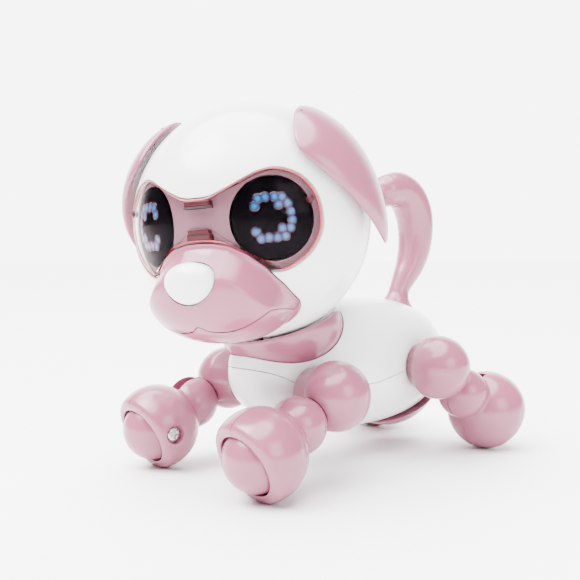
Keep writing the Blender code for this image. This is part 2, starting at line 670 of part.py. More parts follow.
def build_helmet(head):
    """Two shells that part behind the ears, with bosses for two screws and for the nodding pin."""
    cavity = helper(shell_ball(HEAD_R - HEAD_WALL, 24, 14), head)
    split = HEAD_SPLIT_Y
    far = 60 * MM
    for side in (1, -1):
        ends = sorted((side * 5 * MM, side * far))
        lug = cylinder(3 * MM, *ends, "X", (0, 0), 12)
        boss = cylinder(3.6 * MM, 8 * MM, far, "Y", (side * SCREW_X, SCREW_Z), 12)
        ends = sorted((side * SCREW_X, side * far))
        rib = box((ends[0], 8 * MM, SCREW_Z - MM), (ends[1], 14 * MM, SCREW_Z + MM))
        cut(cavity, *(helper(bm, head) for bm in (lug, boss, rib)))
    front = add("head_shell_front", shell_ball(HEAD_R), head)
    rear = add("head_shell_rear", shell_ball(HEAD_R, 26, 16), head)
    for side in (1, -1):
        join(front, ear_pin(head, side, EAR_PIN_R, HEAD_R - MM, HEAD_R + 3.3 * MM))
    cut(front, cavity, helper(box((-far, split - SEAM, -far), (far, far, far)), head))
    cut(front, helper(prism(mirrored(GOGGLE, GAP), -far, -10 * MM), head))
    cut(front, helper(prism(mirrored(MUZZLE, GAP), -far, MUZZLE_BACK + GAP), head))
    cut(front, helper(box((-5.4 * MM, -5.0 * MM, -far), (5.4 * MM, 13.2 * MM, -20 * MM)), head))
    cut(front, helper(cylinder(1.7 * MM, -20.5 * MM, 20.5 * MM, "X", (0, 0), 10), head))
    cut(rear, cavity, helper(box((-far, -far, -far), (far, split + SEAM, far)), head))
    for side, name in ((1, "head_screw_left"), (-1, "head_screw_right")):
        centre = (side * SCREW_X, SCREW_Z)
        cut(front, helper(cylinder(1.2 * MM, 9 * MM, 20 * MM, "Y", centre, 8), head))
        cut(rear, helper(cylinder(1.3 * MM, 0, far, "Y", centre, 8), head))
        cut(rear, helper(cylinder(2.6 * MM, 20.4 * MM, far, "Y", centre, 12), head))
        screw_piece(name, head, 22 * MM, 10 * MM, "Y", centre)
    finish(WHITE, front, rear)


def build_face(head):
    visor = add("visor", shell_ball(HEAD_R), head)
    opening = helper(prism(mirrored(GOGGLE), -60 * MM, -9 * MM), head)
    keep_inside(visor, opening)
    cut(visor, helper(shell_ball(HEAD_R - 1.2 * MM, 26, 16), head))
    plate = add("face_plate", shell_ball(HEAD_R - 2.2 * MM, 26, 16), head)
    keep_inside(plate, helper(prism(mirrored(GOGGLE, 0.9 * MM), -60 * MM, -9 * MM), head))
    cut(plate, helper(shell_ball(HEAD_R - 3.6 * MM, 24, 14), head))
    for name, side in (("eye_display_left", 1), ("eye_display_right", -1)):
        cut(plate, eye_tube(head, side, EYE_R + GAP))
        display = add(name, shell_ball(HEAD_R - 1.7 * MM, 26, 16), head)
        keep_inside(display, eye_tube(head, side, EYE_R), opening)
        cut(display, helper(shell_ball(HEAD_R - 4.2 * MM, 24, 14), head))
        finish(BLACK, display)
    board = add("led_board", box((-17 * MM, -21.5 * MM, -14 * MM), (17 * MM, -20.3 * MM, 8 * MM)), head)
    finish(VISOR_PINK, visor)
    finish(PLATE_PINK, plate)
    finish(BOARD, board)


def muzzle_reach(toward):
    """How far the muzzle's skin is from the head's middle: the bulge, faded in from the upper outline."""

    def measure(distance):
        spot = toward * distance - MUZZLE_CENTRE
        return sum(abs(spot[i] / MUZZLE_RADII[i]) ** MUZZLE_POWER for i in range(3))

    scaled = Vector(toward[i] / MUZZLE_RADII[i] for i in range(3))
    middle = Vector(MUZZLE_CENTRE[i] / MUZZLE_RADII[i] for i in range(3))
    low = max(0.0, scaled.dot(middle) / scaled.length_squared)
    high = 60 * MM
    if measure(low) >= 1:
        return HEAD_R
    for _ in range(30):
        half = (low + high) / 2
        if measure(half) < 1:
            low = half
        else:
            high = half
    spot = Vector((abs(toward.x), toward.z)) * HEAD_R
    inset = 60 * MM
    for start, end in zip(MUZZLE[:-2], MUZZLE[1:-1]):
        start, end = Vector(start) * MM, Vector(end) * MM
        side = end - start
        share = min(1.0, max(0.0, (spot - start).dot(side) / side.length_squared))
        away = spot - start - side * share
        # The muzzle's own side of the outline is the one below it
        sign = 1 if side.cross(away) < 0 else -1
        if away.length < abs(inset):
            inset = sign * away.length
    share = min(1.0, max(0.0, inset / MUZZLE_FADE))
    return HEAD_R + max(0.0, low - HEAD_R) * share**2 * (3 - 2 * share)


def muzzle_ball(depth):
    bm = ball((1, 1, 1), segments=44, rings=30)
    for vert in bm.verts:
        toward = vert.co.normalized()
        vert.co = toward * (muzzle_reach(toward) - depth)
    return bm


def build_muzzle(head):
    outline = helper(prism(mirrored(MUZZLE), -60 * MM, MUZZLE_BACK), head)
    inner = helper(muzzle_ball(MUZZLE_WALL), head)
    left = [(x * MM, z * MM) for x, z in MOUTH]
    line = left + [(-x, z) for x, z in reversed(left[:-1])]
    nose_hole = helper(
        prism(ellipse(NOSE_RADII.x + GAP, NOSE_RADII.z + GAP, NOSE_Z), -60 * MM, -30 * MM), head
    )
    chin_hole = helper(cylinder(0.9 * MM, -42 * MM, -30 * MM, "Z", (0, -23 * MM), 10), head)
    halves = []
    for name, sign, hole in (("muzzle_upper", -1, nose_hole), ("muzzle_jaw", 1, chin_hole)):
        piece = add(name, muzzle_ball(0.0), head)
        keep_inside(piece, outline)
        far = (-70 if sign < 0 else 20) * MM
        moved = [(x, z + sign * -SEAM) for x, z in line]
        block = prism(moved + [(line[-1][0], far), (line[0][0], far)], -70 * MM, 5 * MM)
        cut(piece, inner, hole, helper(block, head))
        halves.append(piece)
    nose = add("nose_button", ball(NOSE_RADII, (0, -38.85 * MM, NOSE_Z), segments=20, rings=12), head)
    stem = cylinder(2.6 * MM, -35.5 * MM, -32.6 * MM, "Y", (0, NOSE_Z), 12)
    join(nose, helper(stem, head))
    switch = add(
        "nose_switch", box((-3 * MM, -31 * MM, NOSE_Z - 3 * MM), (3 * MM, -28 * MM, NOSE_Z + 3 * MM)), head
    )
    finish(PINK, *halves)
    finish(WHITE, nose)
    finish(DARK, switch)


def build_ear(head, name, side):
    """A leaf that follows the helmet's side, from its pin near the crown down to a tip that stands clear."""
    bm = ball((1, 1, 1), segments=18, rings=14)
    for vert in bm.verts:
        across, down, thick = vert.co
        along = (down + 1) / 2
        roll = EAR_ROOT + (EAR_TIP - EAR_ROOT) * along
        middle = (-8 - 3 * math.sin(math.pi * along) * (1 - along) + 14 * along**4) * MM
        y = middle + 15 * MM * (1 - 0.58 * max(0, along - 0.4)) * across
        inside = HEAD_R + (0.6 + 3.2 * along**3) * MM
        radial = inside + (1.5 + (2.8 if thick > 0 else 1.5) * thick) * MM
        ring = math.sqrt(radial**2 - y**2)
        vert.co = Vector((side * ring * math.sin(roll), y, ring * math.cos(roll)))
    bmesh.ops.recalc_face_normals(bm, faces=bm.faces)
    ear = add(name, bm, head)
    cut(ear, ear_pin(head, side, EAR_PIN_R + GAP, HEAD_R - MM, HEAD_R + 3.6 * MM))
    return ear


def build_head():
    yaw = frame("head_yaw", HEAD_CENTRE, Matrix.Rotation(HEAD_YAW, 4, "Z"))
    head = frame("head", (0, 0, 0), HEAD_TURN, yaw)
    build_helmet(head)
    build_face(head)
    build_muzzle(head)
    ears = [build_ear(head, "ear_left", 1), build_ear(head, "ear_right", -1)]
    finish(PINK, *ears)

    # The neck: a post on a flange under the collar, with an eye that the nodding pin goes through
    bottom = 35.3 * MM - HEAD_CENTRE.z
    swivel = add("neck_swivel", cylinder(4.2 * MM, bottom, bottom + 2 * MM, "Z", segments=16), yaw)
    post = helper(cylinder(POST_R, bottom + MM, -3 * MM, "Z", segments=14), yaw)
    eye = helper(cylinder(4.6 * MM, -4.5 * MM, 4.5 * MM, "X", (0, 0), 16), head)
    join(swivel, post, eye)
    cut(swivel, helper(cylinder(1.8 * MM, -6 * MM, 6 * MM, "X", (0, 0), 10), head))
    pin = add("neck_pin", cylinder(1.5 * MM, -20 * MM, 20 * MM, "X", (0, 0), 10), head)
    finish(WHITE, swivel)
    finish(STEEL, pin)


for leg in LEGS:
    build_leg(*leg)
build_torso()
build_tail()
build_head()
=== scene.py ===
"""Looks of the robot puppy toy: smooth moulded pieces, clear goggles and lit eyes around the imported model.

Shapes are measured in millimetres and turned into metres where a mesh is made; places read from the frame,
the floor, the lights and the camera are in metres. Head pieces are made in the head's own frame: -Y is where
the face looks, +X its left, +Z its crown.
"""

import json
import math

import bmesh
import bpy
import numpy as np
from mathutils import Matrix, Vector


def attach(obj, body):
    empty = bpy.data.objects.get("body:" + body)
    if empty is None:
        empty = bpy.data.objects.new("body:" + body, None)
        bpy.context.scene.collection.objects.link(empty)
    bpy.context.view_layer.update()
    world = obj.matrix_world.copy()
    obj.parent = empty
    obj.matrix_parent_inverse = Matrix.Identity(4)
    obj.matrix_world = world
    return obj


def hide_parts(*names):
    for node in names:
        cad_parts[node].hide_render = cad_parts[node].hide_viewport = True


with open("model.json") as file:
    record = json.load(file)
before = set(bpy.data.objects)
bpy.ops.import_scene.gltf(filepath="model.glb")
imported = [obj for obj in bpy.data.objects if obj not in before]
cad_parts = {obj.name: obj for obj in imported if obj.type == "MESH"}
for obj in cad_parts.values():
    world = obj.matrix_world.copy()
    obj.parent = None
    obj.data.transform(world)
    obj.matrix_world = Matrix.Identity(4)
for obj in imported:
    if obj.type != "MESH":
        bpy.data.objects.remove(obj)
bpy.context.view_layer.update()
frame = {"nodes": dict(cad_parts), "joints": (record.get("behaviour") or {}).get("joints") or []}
JOINTS = {joint["name"]: joint for joint in frame["joints"]}
MM = 0.001


def pivot(name):
    return Vector(JOINTS[name]["pos_m"])


def direction(name):
    return Vector(JOINTS[name]["axis"]).normalized()


def frame_matrix(origin, x_axis, y_axis):
    """A right-handed frame from its origin and two of its axes."""
    z_axis = x_axis.cross(y_axis).normalized()
    turn = Matrix((x_axis, y_axis, z_axis)).transposed().to_4x4()
    return Matrix.Translation(origin) @ turn


HEAD = pivot("head_yaw")
HEAD_FRAME = frame_matrix(HEAD, direction("head_nod"), direction("nose_press"))
TORSO = HEAD + Vector((0, 37.0, -46.1)) * MM

HEAD_R = 36.0
GAP = 0.3
SHARP_EDGE = 38  # degrees between two faces from which their edge is left sharp


# ---------------------------------------------------------------- meshes from rings of points
def linked(name, data):
    obj = bpy.data.objects.new(name, data)
    bpy.context.scene.collection.objects.link(obj)
    return obj


def new_object(name, mesh, material, body, replaced=(), matrix=None):
    obj = linked(name, mesh)
    if matrix is not None:
        mesh.transform(matrix)
    mesh.materials.append(material)
    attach(obj, body)
    if replaced:
        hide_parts(*replaced)
    return obj


def strip_corners(first, second):
    """The corners of each face between two rings; a ring of one point closes as a fan."""
    count = max(len(first), len(second))
    for k in range(count):
        n = (k + 1) % count
        if len(first) == 1:
            yield first[0], second[k], second[n]
        elif len(second) == 1:
            yield first[k], second[0], first[n]
        else:
            yield first[k], second[k], second[n], first[n]


def to_mesh(bm, name):
    mesh = bpy.data.meshes.new(name)
    bm.to_mesh(mesh)
    bm.free()
    return mesh


def smooth_shaded(mesh):
    mesh.shade_smooth()
    mesh.set_sharp_from_angle(angle=math.radians(SHARP_EDGE))
    return mesh


def loft(name, rings, cyclic=False):
    """A closed mesh through rings of points (in millimetres); an end ring may be a single point."""
    bm = bmesh.new()
    rows = [[bm.verts.new(Vector(p) * MM) for p in np.atleast_2d(ring)] for ring in rings]
    pairs = list(zip(rows, rows[1:]))
    if cyclic:
        pairs.append((rows[-1], rows[0]))
    for first, second in pairs:
        for corners in strip_corners(first, second):
            bm.faces.new(corners)
    if not cyclic:
        for ring in (rows[0], rows[-1]):
            if len(ring) > 2:
                bm.faces.new(ring)
    bmesh.ops.recalc_face_normals(bm, faces=bm.faces)
    return smooth_shaded(to_mesh(bm, name))


def lathe(name, profile, segments=96, cyclic=False):
    """A turned mesh about Z from (radius, height) points in millimetres; ends on the axis close it."""
    rings = []
    angles = np.linspace(0, 2 * math.pi, segments, endpoint=False)
    for radius, height in profile:
        if radius < 1e-6:
            rings.append(np.array([[0.0, 0.0, height]]))
            continue
        ring = [radius * np.cos(angles), radius * np.sin(angles), np.full(segments, height)]
        rings.append(np.stack(ring, axis=1))
    return loft(name, rings, cyclic=cyclic)


def rod(radius, low, high, segments):
    """A plain round cutter or pin about Z."""
    return lathe("rod", [(0, low), (radius, low), (radius, high), (0, high)], segments)


def arc(radius, start, end, steps, centre=(0.0, 0.0)):
    angles = np.radians(np.linspace(start, end, steps + 1))
    return [(centre[0] + radius * math.cos(a), centre[1] + radius * math.sin(a)) for a in angles]


def catmull_rom(a, b, c, d, t):
    """From b to c as t goes from 0 to 1, on a smooth curve through all four."""
    return 0.5 * (2 * b + (c - a) * t + (2 * a - 5 * b + 4 * c - d) * t**2 + (3 * b - a - 3 * c + d) * t**3)


def smooth_outline(points, repeats=10):
    """A closed smooth curve through the points."""
    points = np.array(points, float)
    t = np.linspace(0, 1, repeats, endpoint=False)[:, None]
    pieces = []
    for i in range(len(points)):
        a, b, c, d = (points[(i + k) % len(points)] for k in (-1, 0, 1, 2))
        pieces.append(catmull_rom(a, b, c, d, t))
    return np.concatenate(pieces)


def smooth_line(points, shares):
    """An open smooth curve through the points, at the given shares of each step between two of them."""
    last = len(points) - 1
    fine = []
    for i in range(last):
        a, b, c, d = points[max(i - 1, 0)], points[i], points[i + 1], points[min(i + 2, last)]
        for t in shares:
            fine.append(catmull_rom(a, b, c, d, t))
    return fine


def mirrored(half):
    half = [tuple(p) for p in half]
    return half + [(-x, z) for x, z in reversed(half) if x > 1e-6]


def in_outline(x, z, outline):
    """Even-odd test of many points against a closed outline."""
    inside = np.zeros(np.shape(x), bool)
    x0, z0 = outline[-1]
    for x1, z1 in outline:
        crosses = (z0 > z) != (z1 > z)
        with np.errstate(divide="ignore", invalid="ignore"):
            at = (x1 - x0) * (z - z0) / (z1 - z0) + x0
        inside ^= crosses & (x < at)
        x0, z0 = x1, z1
    return inside


class Polar:
    """Directions by their angle theta from a middle direction and the angle phi round it."""

    def __init__(self, middle, count=240):
        self.middle = np.array(Vector(middle).normalized())
        side = np.cross(self.middle, (0.31, 0.17, 0.93) if abs(self.middle[2]) < 0.9 else (1, 0, 0))
        self.side = side / np.linalg.norm(side)
        self.up = np.cross(self.middle, self.side)
        self.phi = np.linspace(0, 2 * math.pi, count, endpoint=False)

    def at(self, theta):
        theta = np.asarray(theta)
        round_it = np.outer(np.cos(self.phi), self.side) + np.outer(np.sin(self.phi), self.up)
        return np.cos(theta)[..., None] * self.middle + np.sin(theta)[..., None] * round_it

    def edge(self, inside, surface, first=0.0, last=math.pi, steps=260):
        """For each phi, the theta where the surface first leaves the region."""
        low = np.full(len(self.phi), first)
        high = np.full(len(self.phi), last)
        found = np.zeros(len(self.phi), bool)
        for theta in np.linspace(first, last, steps)[1:]:
            outside = ~inside(surface(self.at(np.full(len(self.phi), theta)), 0.0))
            newly = outside & ~found
            high[newly] = theta
            found |= newly
            low[~found] = theta
        for _ in range(24):
            middle = (low + high) / 2
            ok = inside(surface(self.at(middle), 0.0))
            low = np.where(ok, middle, low)
            high = np.where(ok, high, middle)
        return low


def fillet_steps(radius, steps=6):
    """(inset, depth) pairs round an edge of the head, from the face to the wall; the inset is an angle."""
    angles = np.radians(np.linspace(0, 90, steps + 1))[1:]
    return [((radius - radius * math.sin(a)) / HEAD_R, radius * (1 - math.cos(a))) for a in angles]


def patch(name, polar, surface, outer, inner, wall, edge, rings):
    """A curved plate: surface(directions, depth) inside the edge angle, with rounded rims and a back."""
    zero = np.zeros(len(polar.phi))
    start = zero if inner is None else inner + edge / HEAD_R
    end = outer - edge / HEAD_R
    rows = []
    if inner is None:
        rows.append(surface(polar.middle[None, :], 0.0))
    else:
        rows.append(surface(polar.at(inner), wall))
        for inset, depth in reversed(fillet_steps(edge)):
            rows.append(surface(polar.at(inner + inset), depth))
    first = 1 if inner is None else 0
    for k in range(first, rings + 1):
        rows.append(surface(polar.at(start + (end - start) * k / rings), 0.0))
    for inset, depth in fillet_steps(edge):
        rows.append(surface(polar.at(outer - inset), depth))
    rows.append(surface(polar.at(outer), wall))
    back_rings = max(6, rings // 3)
    low = zero if inner is None else inner
    for k in range(1, back_rings):
        rows.append(surface(polar.at(outer + (low - outer) * k / back_rings), wall))
    if inner is None:
        rows.append(surface(polar.middle[None, :], wall))
    return loft(name, rows, cyclic=inner is not None)


def cut_mesh(mesh, *cutters):
    """The mesh with the cutters' space taken out of it."""
    holder = linked("cut", mesh)
    for cutter in cutters:
        modifier = holder.modifiers.new("cut", "BOOLEAN")
        modifier.operation = "DIFFERENCE"
        modifier.object = linked("tool", cutter)
    bpy.context.view_layer.update()
    graph = bpy.context.evaluated_depsgraph_get()
    result = bpy.data.meshes.new_from_object(holder.evaluated_get(graph))
    for obj in [m.object for m in holder.modifiers] + [holder]:
        bpy.data.objects.remove(obj)
    return smooth_shaded(result)


def merged(name, *meshes):
    bm = bmesh.new()
    for mesh in meshes:
        bm.from_mesh(mesh)
    return smooth_shaded(to_mesh(bm, name))


def placed(mesh, matrix):
    mesh.transform(matrix)
    return mesh


def turn_to(axis, at=(0, 0, 0)):
    """Places a Z-turned mesh (origin in millimetres) so that Z points along the axis."""
    return Matrix.Translation(Vector(at) * MM) @ Vector(axis).to_track_quat("Z", "Y").to_matrix().to_4x4()


def prism_mesh(outline, low, high, axis):
    """An outline in millimetres drawn out along an axis; it lies in the other two axes, in order."""
    rings = []
    for level in (low, high):
        rings.append(np.insert(np.array(outline, float), "XYZ".index(axis), level, axis=1))
    return loft("prism", rings)


def box_mesh(low, high):
    bm = bmesh.new()
    bmesh.ops.create_cube(bm, size=1)
    low, high = Vector(low) * MM, Vector(high) * MM
    for vert in bm.verts:
        vert.co = Vector(low[i] + (vert.co[i] + 0.5) * (high[i] - low[i]) for i in range(3))
    return to_mesh(bm, "box")


# ---------------------------------------------------------------- materials
def node_material(name):
    material = bpy.data.materials.new(name)
    material.use_nodes = True
    nodes, links = material.node_tree.nodes, material.node_tree.links
    return material, nodes, links, nodes["Principled BSDF"]


def object_noise(nodes, links, scale, detail=4.0, roughness=0.55):
    where = nodes.new("ShaderNodeTexCoord")
    noise = nodes.new("ShaderNodeTexNoise")
    noise.inputs["Scale"].default_value = scale
    noise.inputs["Detail"].default_value = detail
    noise.inputs["Roughness"].default_value = roughness
    links.new(where.outputs["Object"], noise.inputs["Vector"])
    return noise


def ramp(nodes, links, source, low, high, start=0.3, end=0.7):
    """A colour or grey ramp between two values."""
    made = nodes.new("ShaderNodeValToRGB")
    made.color_ramp.elements[0].position = start
    made.color_ramp.elements[1].position = end
    for element, value in zip(made.color_ramp.elements, (low, high)):
        element.color = (*value, 1) if hasattr(value, "__len__") else (value, value, value, 1)
    links.new(source, made.inputs["Fac"])
    return made.outputs["Color"]


def moulded(name, colour, shade, gloss, glow=0.0, coat=0.12, bump=0.012, specular=0.5):
    """Injection-moulded plastic: faint flow marks, uneven gloss and a trace of surface waviness."""
    material, nodes, links, shader = node_material(name)
    cloud = object_noise(nodes, links, 55, 3)
    links.new(ramp(nodes, links, cloud.outputs["Fac"], shade, colour), shader.inputs["Base Color"])
    haze = object_noise(nodes, links, 420, 5)
    links.new(ramp(nodes, links, haze.outputs["Fac"], *gloss), shader.inputs["Roughness"])
    grain = object_noise(nodes, links, 2600, 2)
    wave = object_noise(nodes, links, 130, 2)
    height = nodes.new("ShaderNodeMath")
    height.operation = "MULTIPLY_ADD"
    height.inputs[1].default_value = 0.12
    links.new(grain.outputs["Fac"], height.inputs[0])
    links.new(wave.outputs["Fac"], height.inputs[2])
    dent = nodes.new("ShaderNodeBump")
    dent.inputs["Strength"].default_value = bump
    dent.inputs["Distance"].default_value = 0.0003
    links.new(height.outputs["Value"], dent.inputs["Height"])
    links.new(dent.outputs["Normal"], shader.inputs["Normal"])
    shader.inputs["IOR"].default_value = 1.5
    shader.inputs["Specular IOR Level"].default_value = specular
    shader.inputs["Coat Weight"].default_value = coat
    shader.inputs["Coat Roughness"].default_value = 0.12
    if glow:
        shader.inputs["Subsurface Weight"].default_value = glow
        shader.inputs["Subsurface Radius"].default_value = (1.0, 0.5, 0.45)
        shader.inputs["Subsurface Scale"].default_value = 0.0025
    return material


def clear_tinted(name, tint):
    """Thin clear plastic, with a low index so that what is behind it stays dark and sharp."""
    polish = 0.012
    material, nodes, links, shader = node_material(name)
    cloud = object_noise(nodes, links, 90, 2)
    paler = tuple(min(1.0, c * 1.03) for c in tint)
    links.new(ramp(nodes, links, cloud.outputs["Fac"], tint, paler), shader.inputs["Base Color"])
    haze = object_noise(nodes, links, 700, 4)
    links.new(
        ramp(nodes, links, haze.outputs["Fac"], polish, polish * 2.5, 0.45, 0.8), shader.inputs["Roughness"]
    )
    shader.inputs["Transmission Weight"].default_value = 1.0
    shader.inputs["Specular IOR Level"].default_value = 0.1
    shader.inputs["IOR"].default_value = 1.08
    return material


def metal(name, colour, gloss=(0.22, 0.38)):
    material, nodes, links, shader = node_material(name)
    streaks = object_noise(nodes, links, 900, 6, 0.7)
    darker = tuple(c * 0.72 for c in colour)
    links.new(ramp(nodes, links, streaks.outputs["Fac"], darker, colour), shader.inputs["Base Color"])
    links.new(ramp(nodes, links, streaks.outputs["Fac"], *gloss), shader.inputs["Roughness"])
    dent = nodes.new("ShaderNodeBump")
    dent.inputs["Strength"].default_value = 0.15
    dent.inputs["Distance"].default_value = 0.00005
    links.new(streaks.outputs["Fac"], dent.inputs["Height"])
    links.new(dent.outputs["Normal"], shader.inputs["Normal"])
    shader.inputs["Metallic"].default_value = 1.0
    return material


def light_dots(name):
    """Blue light-emitting dots: a bright core that fades to black, by the disc's own radius."""
    material, nodes, links, shader = node_material(name)
    where = nodes.new("ShaderNodeUVMap")
    where.uv_map = "UVMap"
    length = nodes.new("ShaderNodeVectorMath")
    length.operation = "LENGTH"
    links.new(where.outputs["UV"], length.inputs[0])
    colours = nodes.new("ShaderNodeValToRGB")
    stops = (
        (0.0, (0.015, 0.46, 0.90)), (0.4, (0.003, 0.24, 0.65)), (0.66, (0.001, 0.08, 0.25)),
        (0.8, (0.0005, 0.012, 0.06)), (1.0, (0.0, 0.0, 0.002)),
    )
    while len(colours.color_ramp.elements) < len(stops):
        colours.color_ramp.elements.new(0.5)
    for element, (position, colour) in zip(colours.color_ramp.elements, stops):
        element.position = position
        element.color = (*colour, 1)
    links.new(length.outputs["Value"], colours.inputs["Fac"])
    links.new(colours.outputs["Color"], shader.inputs["Emission Color"])
    shader.inputs["Emission Strength"].default_value = 1.7
    shader.inputs["Base Color"].default_value = (0.004, 0.004, 0.006, 1)
    shader.inputs["Roughness"].default_value = 0.3
    return material


WHITE = moulded("white_plastic", (0.84, 0.835, 0.83), (0.82, 0.815, 0.81), (0.16, 0.24), glow=0.05)
PINK = moulded("pink_plastic", (0.29, 0.084, 0.138), (0.284, 0.082, 0.135), (0.2, 0.25), glow=0.02)
PLATE = moulded("face_plate_plastic", (0.20, 0.15, 0.175), (0.19, 0.143, 0.168), (0.35, 0.45), coat=0.0)
DISPLAY = moulded(
    "display_glass", (0.003, 0.003, 0.005), (0.002, 0.002, 0.004), (0.2, 0.25),
    coat=0.0, bump=0.0, specular=0.0,
)
VISOR = clear_tinted("clear_pink", (0.93, 0.72, 0.76))
RIM = moulded("visor_edge", (0.42, 0.05, 0.07), (0.34, 0.035, 0.055), (0.15, 0.25))
MAROON = moulded(
    "maroon_clip", (0.06, 0.008, 0.014), (0.04, 0.004, 0.008), (0.3, 0.45), coat=0.0, specular=0.2
)
STEEL = metal("plated_steel", (0.62, 0.61, 0.60))
CELL = metal("cell_can", (0.70, 0.69, 0.66), (0.15, 0.3))
DARK = moulded("dark_plastic", (0.03, 0.02, 0.022), (0.018, 0.012, 0.014), (0.35, 0.5), coat=0.0)
BOARD = moulded("circuit_board", (0.04, 0.20, 0.09), (0.02, 0.12, 0.05), (0.3, 0.45), coat=0.1)
LIGHTS = light_dots("eye_lights")


# ---------------------------------------------------------------- head
GOGGLE = smooth_outline(mirrored((
    (0, 1.9), (4, 2.2), (8, 3.9), (12.3, 6.3), (16.5, 8.8), (20.6, 9.9), (25.2, 8.5), (28.6, 4.6),
    (30.1, -0.7), (29.8, -6.6), (27.2, -12.2), (23.0, -16.2), (18.8, -17.8), (16.2, -16.3), (12.8, -13.1),
    (8.8, -10.9), (4, -10.0), (0, -9.8),
)))
MUZZLE_SIDE = (
    (0, -10.2), (4.2, -10.4), (8.8, -11.3), (12.8, -13.5), (16.6, -17.0), (19.4, -21.2), (20.9, -25.4),
    (21.2, -29.0),
)
MUZZLE_LINE = MUZZLE_SIDE + ((20.6, -36.0), (19.0, -45.0))
MUZZLE_CORNER = 6.0
MUZZLE_CENTRE = np.array((0, -20.0, -21.5))
MUZZLE_RADII = np.array((21.5, 20.5, 15.4))
MUZZLE_BACK = -9.5
MUZZLE_FADE = 5.5
HEAD_SPLIT = 16.0
SPLIT_HALF = 0.1  # half of the fine line between the two helmet shells
HELMET_WALL, HEAD_EDGE = 1.8, 0.3
POST_SLOT = ((-5.4, -5.0, -60), (5.4, 13.2, -20))
HELMET_SCREW, HELMET_WELL_R = (21.0, 30.4, -12.5), 2.6
EYE = (math.radians(34.8), math.radians(-6.2))
EYE_DOME, EYE_R, EYE_HOLE_R, EYE_DEPTH = 34.3, 11.3, 11.6, 2.5
VISOR_WALL, PLATE_DEPTH, PLATE_WALL = 1.15, 2.2, 1.4
MUZZLE_WALL = 1.9
CHIN_Y, CHIN_R = -23, 0.9
NOSE_Z = -21.0
NOSE_WIDE, NOSE_TALL, NOSE_FRONT, NOSE_GAP = 7.3, 5.6, -43.35, 0.32


def sphere(radius):
    return lambda d, depth: d * (radius - depth)


def grown(outline, by):
    """A clockwise closed outline moved outwards."""
    ahead = np.roll(outline, -1, axis=0) - np.roll(outline, 1, axis=0)
    normal = np.stack([-ahead[:, 1], ahead[:, 0]], axis=1)
    return outline + by * normal / np.linalg.norm(normal, axis=1)[:, None]


def line_inset(spots, line):
    """How far points of the front view lie inside one half's outline."""
    best = np.full(len(spots), 60.0)
    line = np.array(line)
    for start, end in zip(line, line[1:]):
        side = end - start
        share = np.clip(((spots - start) @ side) / (side @ side), 0, 1)
        away = spots - start - share[:, None] * side
        reach = np.linalg.norm(away, axis=1)
        inner = side[0] * away[:, 1] - side[1] * away[:, 0] < 0
        best = np.where(reach < np.abs(best), np.where(inner, reach, -reach), best)
    return best


def muzzle_radius(d):
    """How far the muzzle's skin is along each direction: its bulge fades in from the upper outline."""
    nearest = np.clip((d / MUZZLE_RADII) @ (MUZZLE_CENTRE / MUZZLE_RADII), 0, None)
    nearest = nearest / ((d / MUZZLE_RADII) ** 2).sum(axis=1)

    def measure(t):
        scaled = np.abs(d * t[:, None] - MUZZLE_CENTRE) / MUZZLE_RADII
        return (scaled**2.15).sum(axis=1)

    low, high = nearest.copy(), np.full(len(d), 60.0)
    hit = measure(nearest) < 1
    for _ in range(40):
        middle = (low + high) / 2
        inside = measure(middle) < 1
        low = np.where(inside, middle, low)
        high = np.where(inside, high, middle)
    spots = np.stack([np.abs(d[:, 0]), d[:, 2]], axis=1) * HEAD_R
    share = np.clip(line_inset(spots, MUZZLE_SIDE) / MUZZLE_FADE, 0, 1)
    rise = np.where(hit, np.clip(low - HEAD_R, 0, None), 0.0)
    return HEAD_R + rise * share**2 * (3 - 2 * share)


def muzzle_skin(d, depth):
    return d * (muzzle_radius(d)[:, None] - depth)


def in_goggle(p):
    return in_outline(p[:, 0], p[:, 2], GOGGLE) & (p[:, 1] < 0)


def in_muzzle(p, gap=0.0):
    """Inside the muzzle's sides and in front of its back edge, with a rounded corner between the two."""
    spots = np.stack([np.abs(p[:, 0]), p[:, 2]], axis=1)
    side = line_inset(spots, MUZZLE_LINE) + gap
    back = MUZZLE_BACK - p[:, 1] + gap
    corner = MUZZLE_CORNER + gap
    near = (side < corner) & (back < corner)
    round_off = np.hypot(corner - side, corner - back) < corner
    return np.where(near, round_off, (side > 0) & (back > 0)) & (p[:, 2] < 0)


def in_face(p):
    """The helmet's opening: a small gap round the goggles and the muzzle together."""
    goggles = in_outline(p[:, 0], p[:, 2], GOGGLE_OPENING) & (p[:, 1] < 0)
    return goggles | in_muzzle(p, GAP)


def eye_direction(side):
    turn, lift = EYE
    return Vector((side * math.sin(turn) * math.cos(lift), -math.cos(turn) * math.cos(lift), math.sin(lift)))


def head_piece(name, mesh, material, replaced=(), body="head"):
    return new_object(name, mesh, material, body, replaced, HEAD_FRAME)


GOGGLE_OPENING = grown(GOGGLE, GAP)


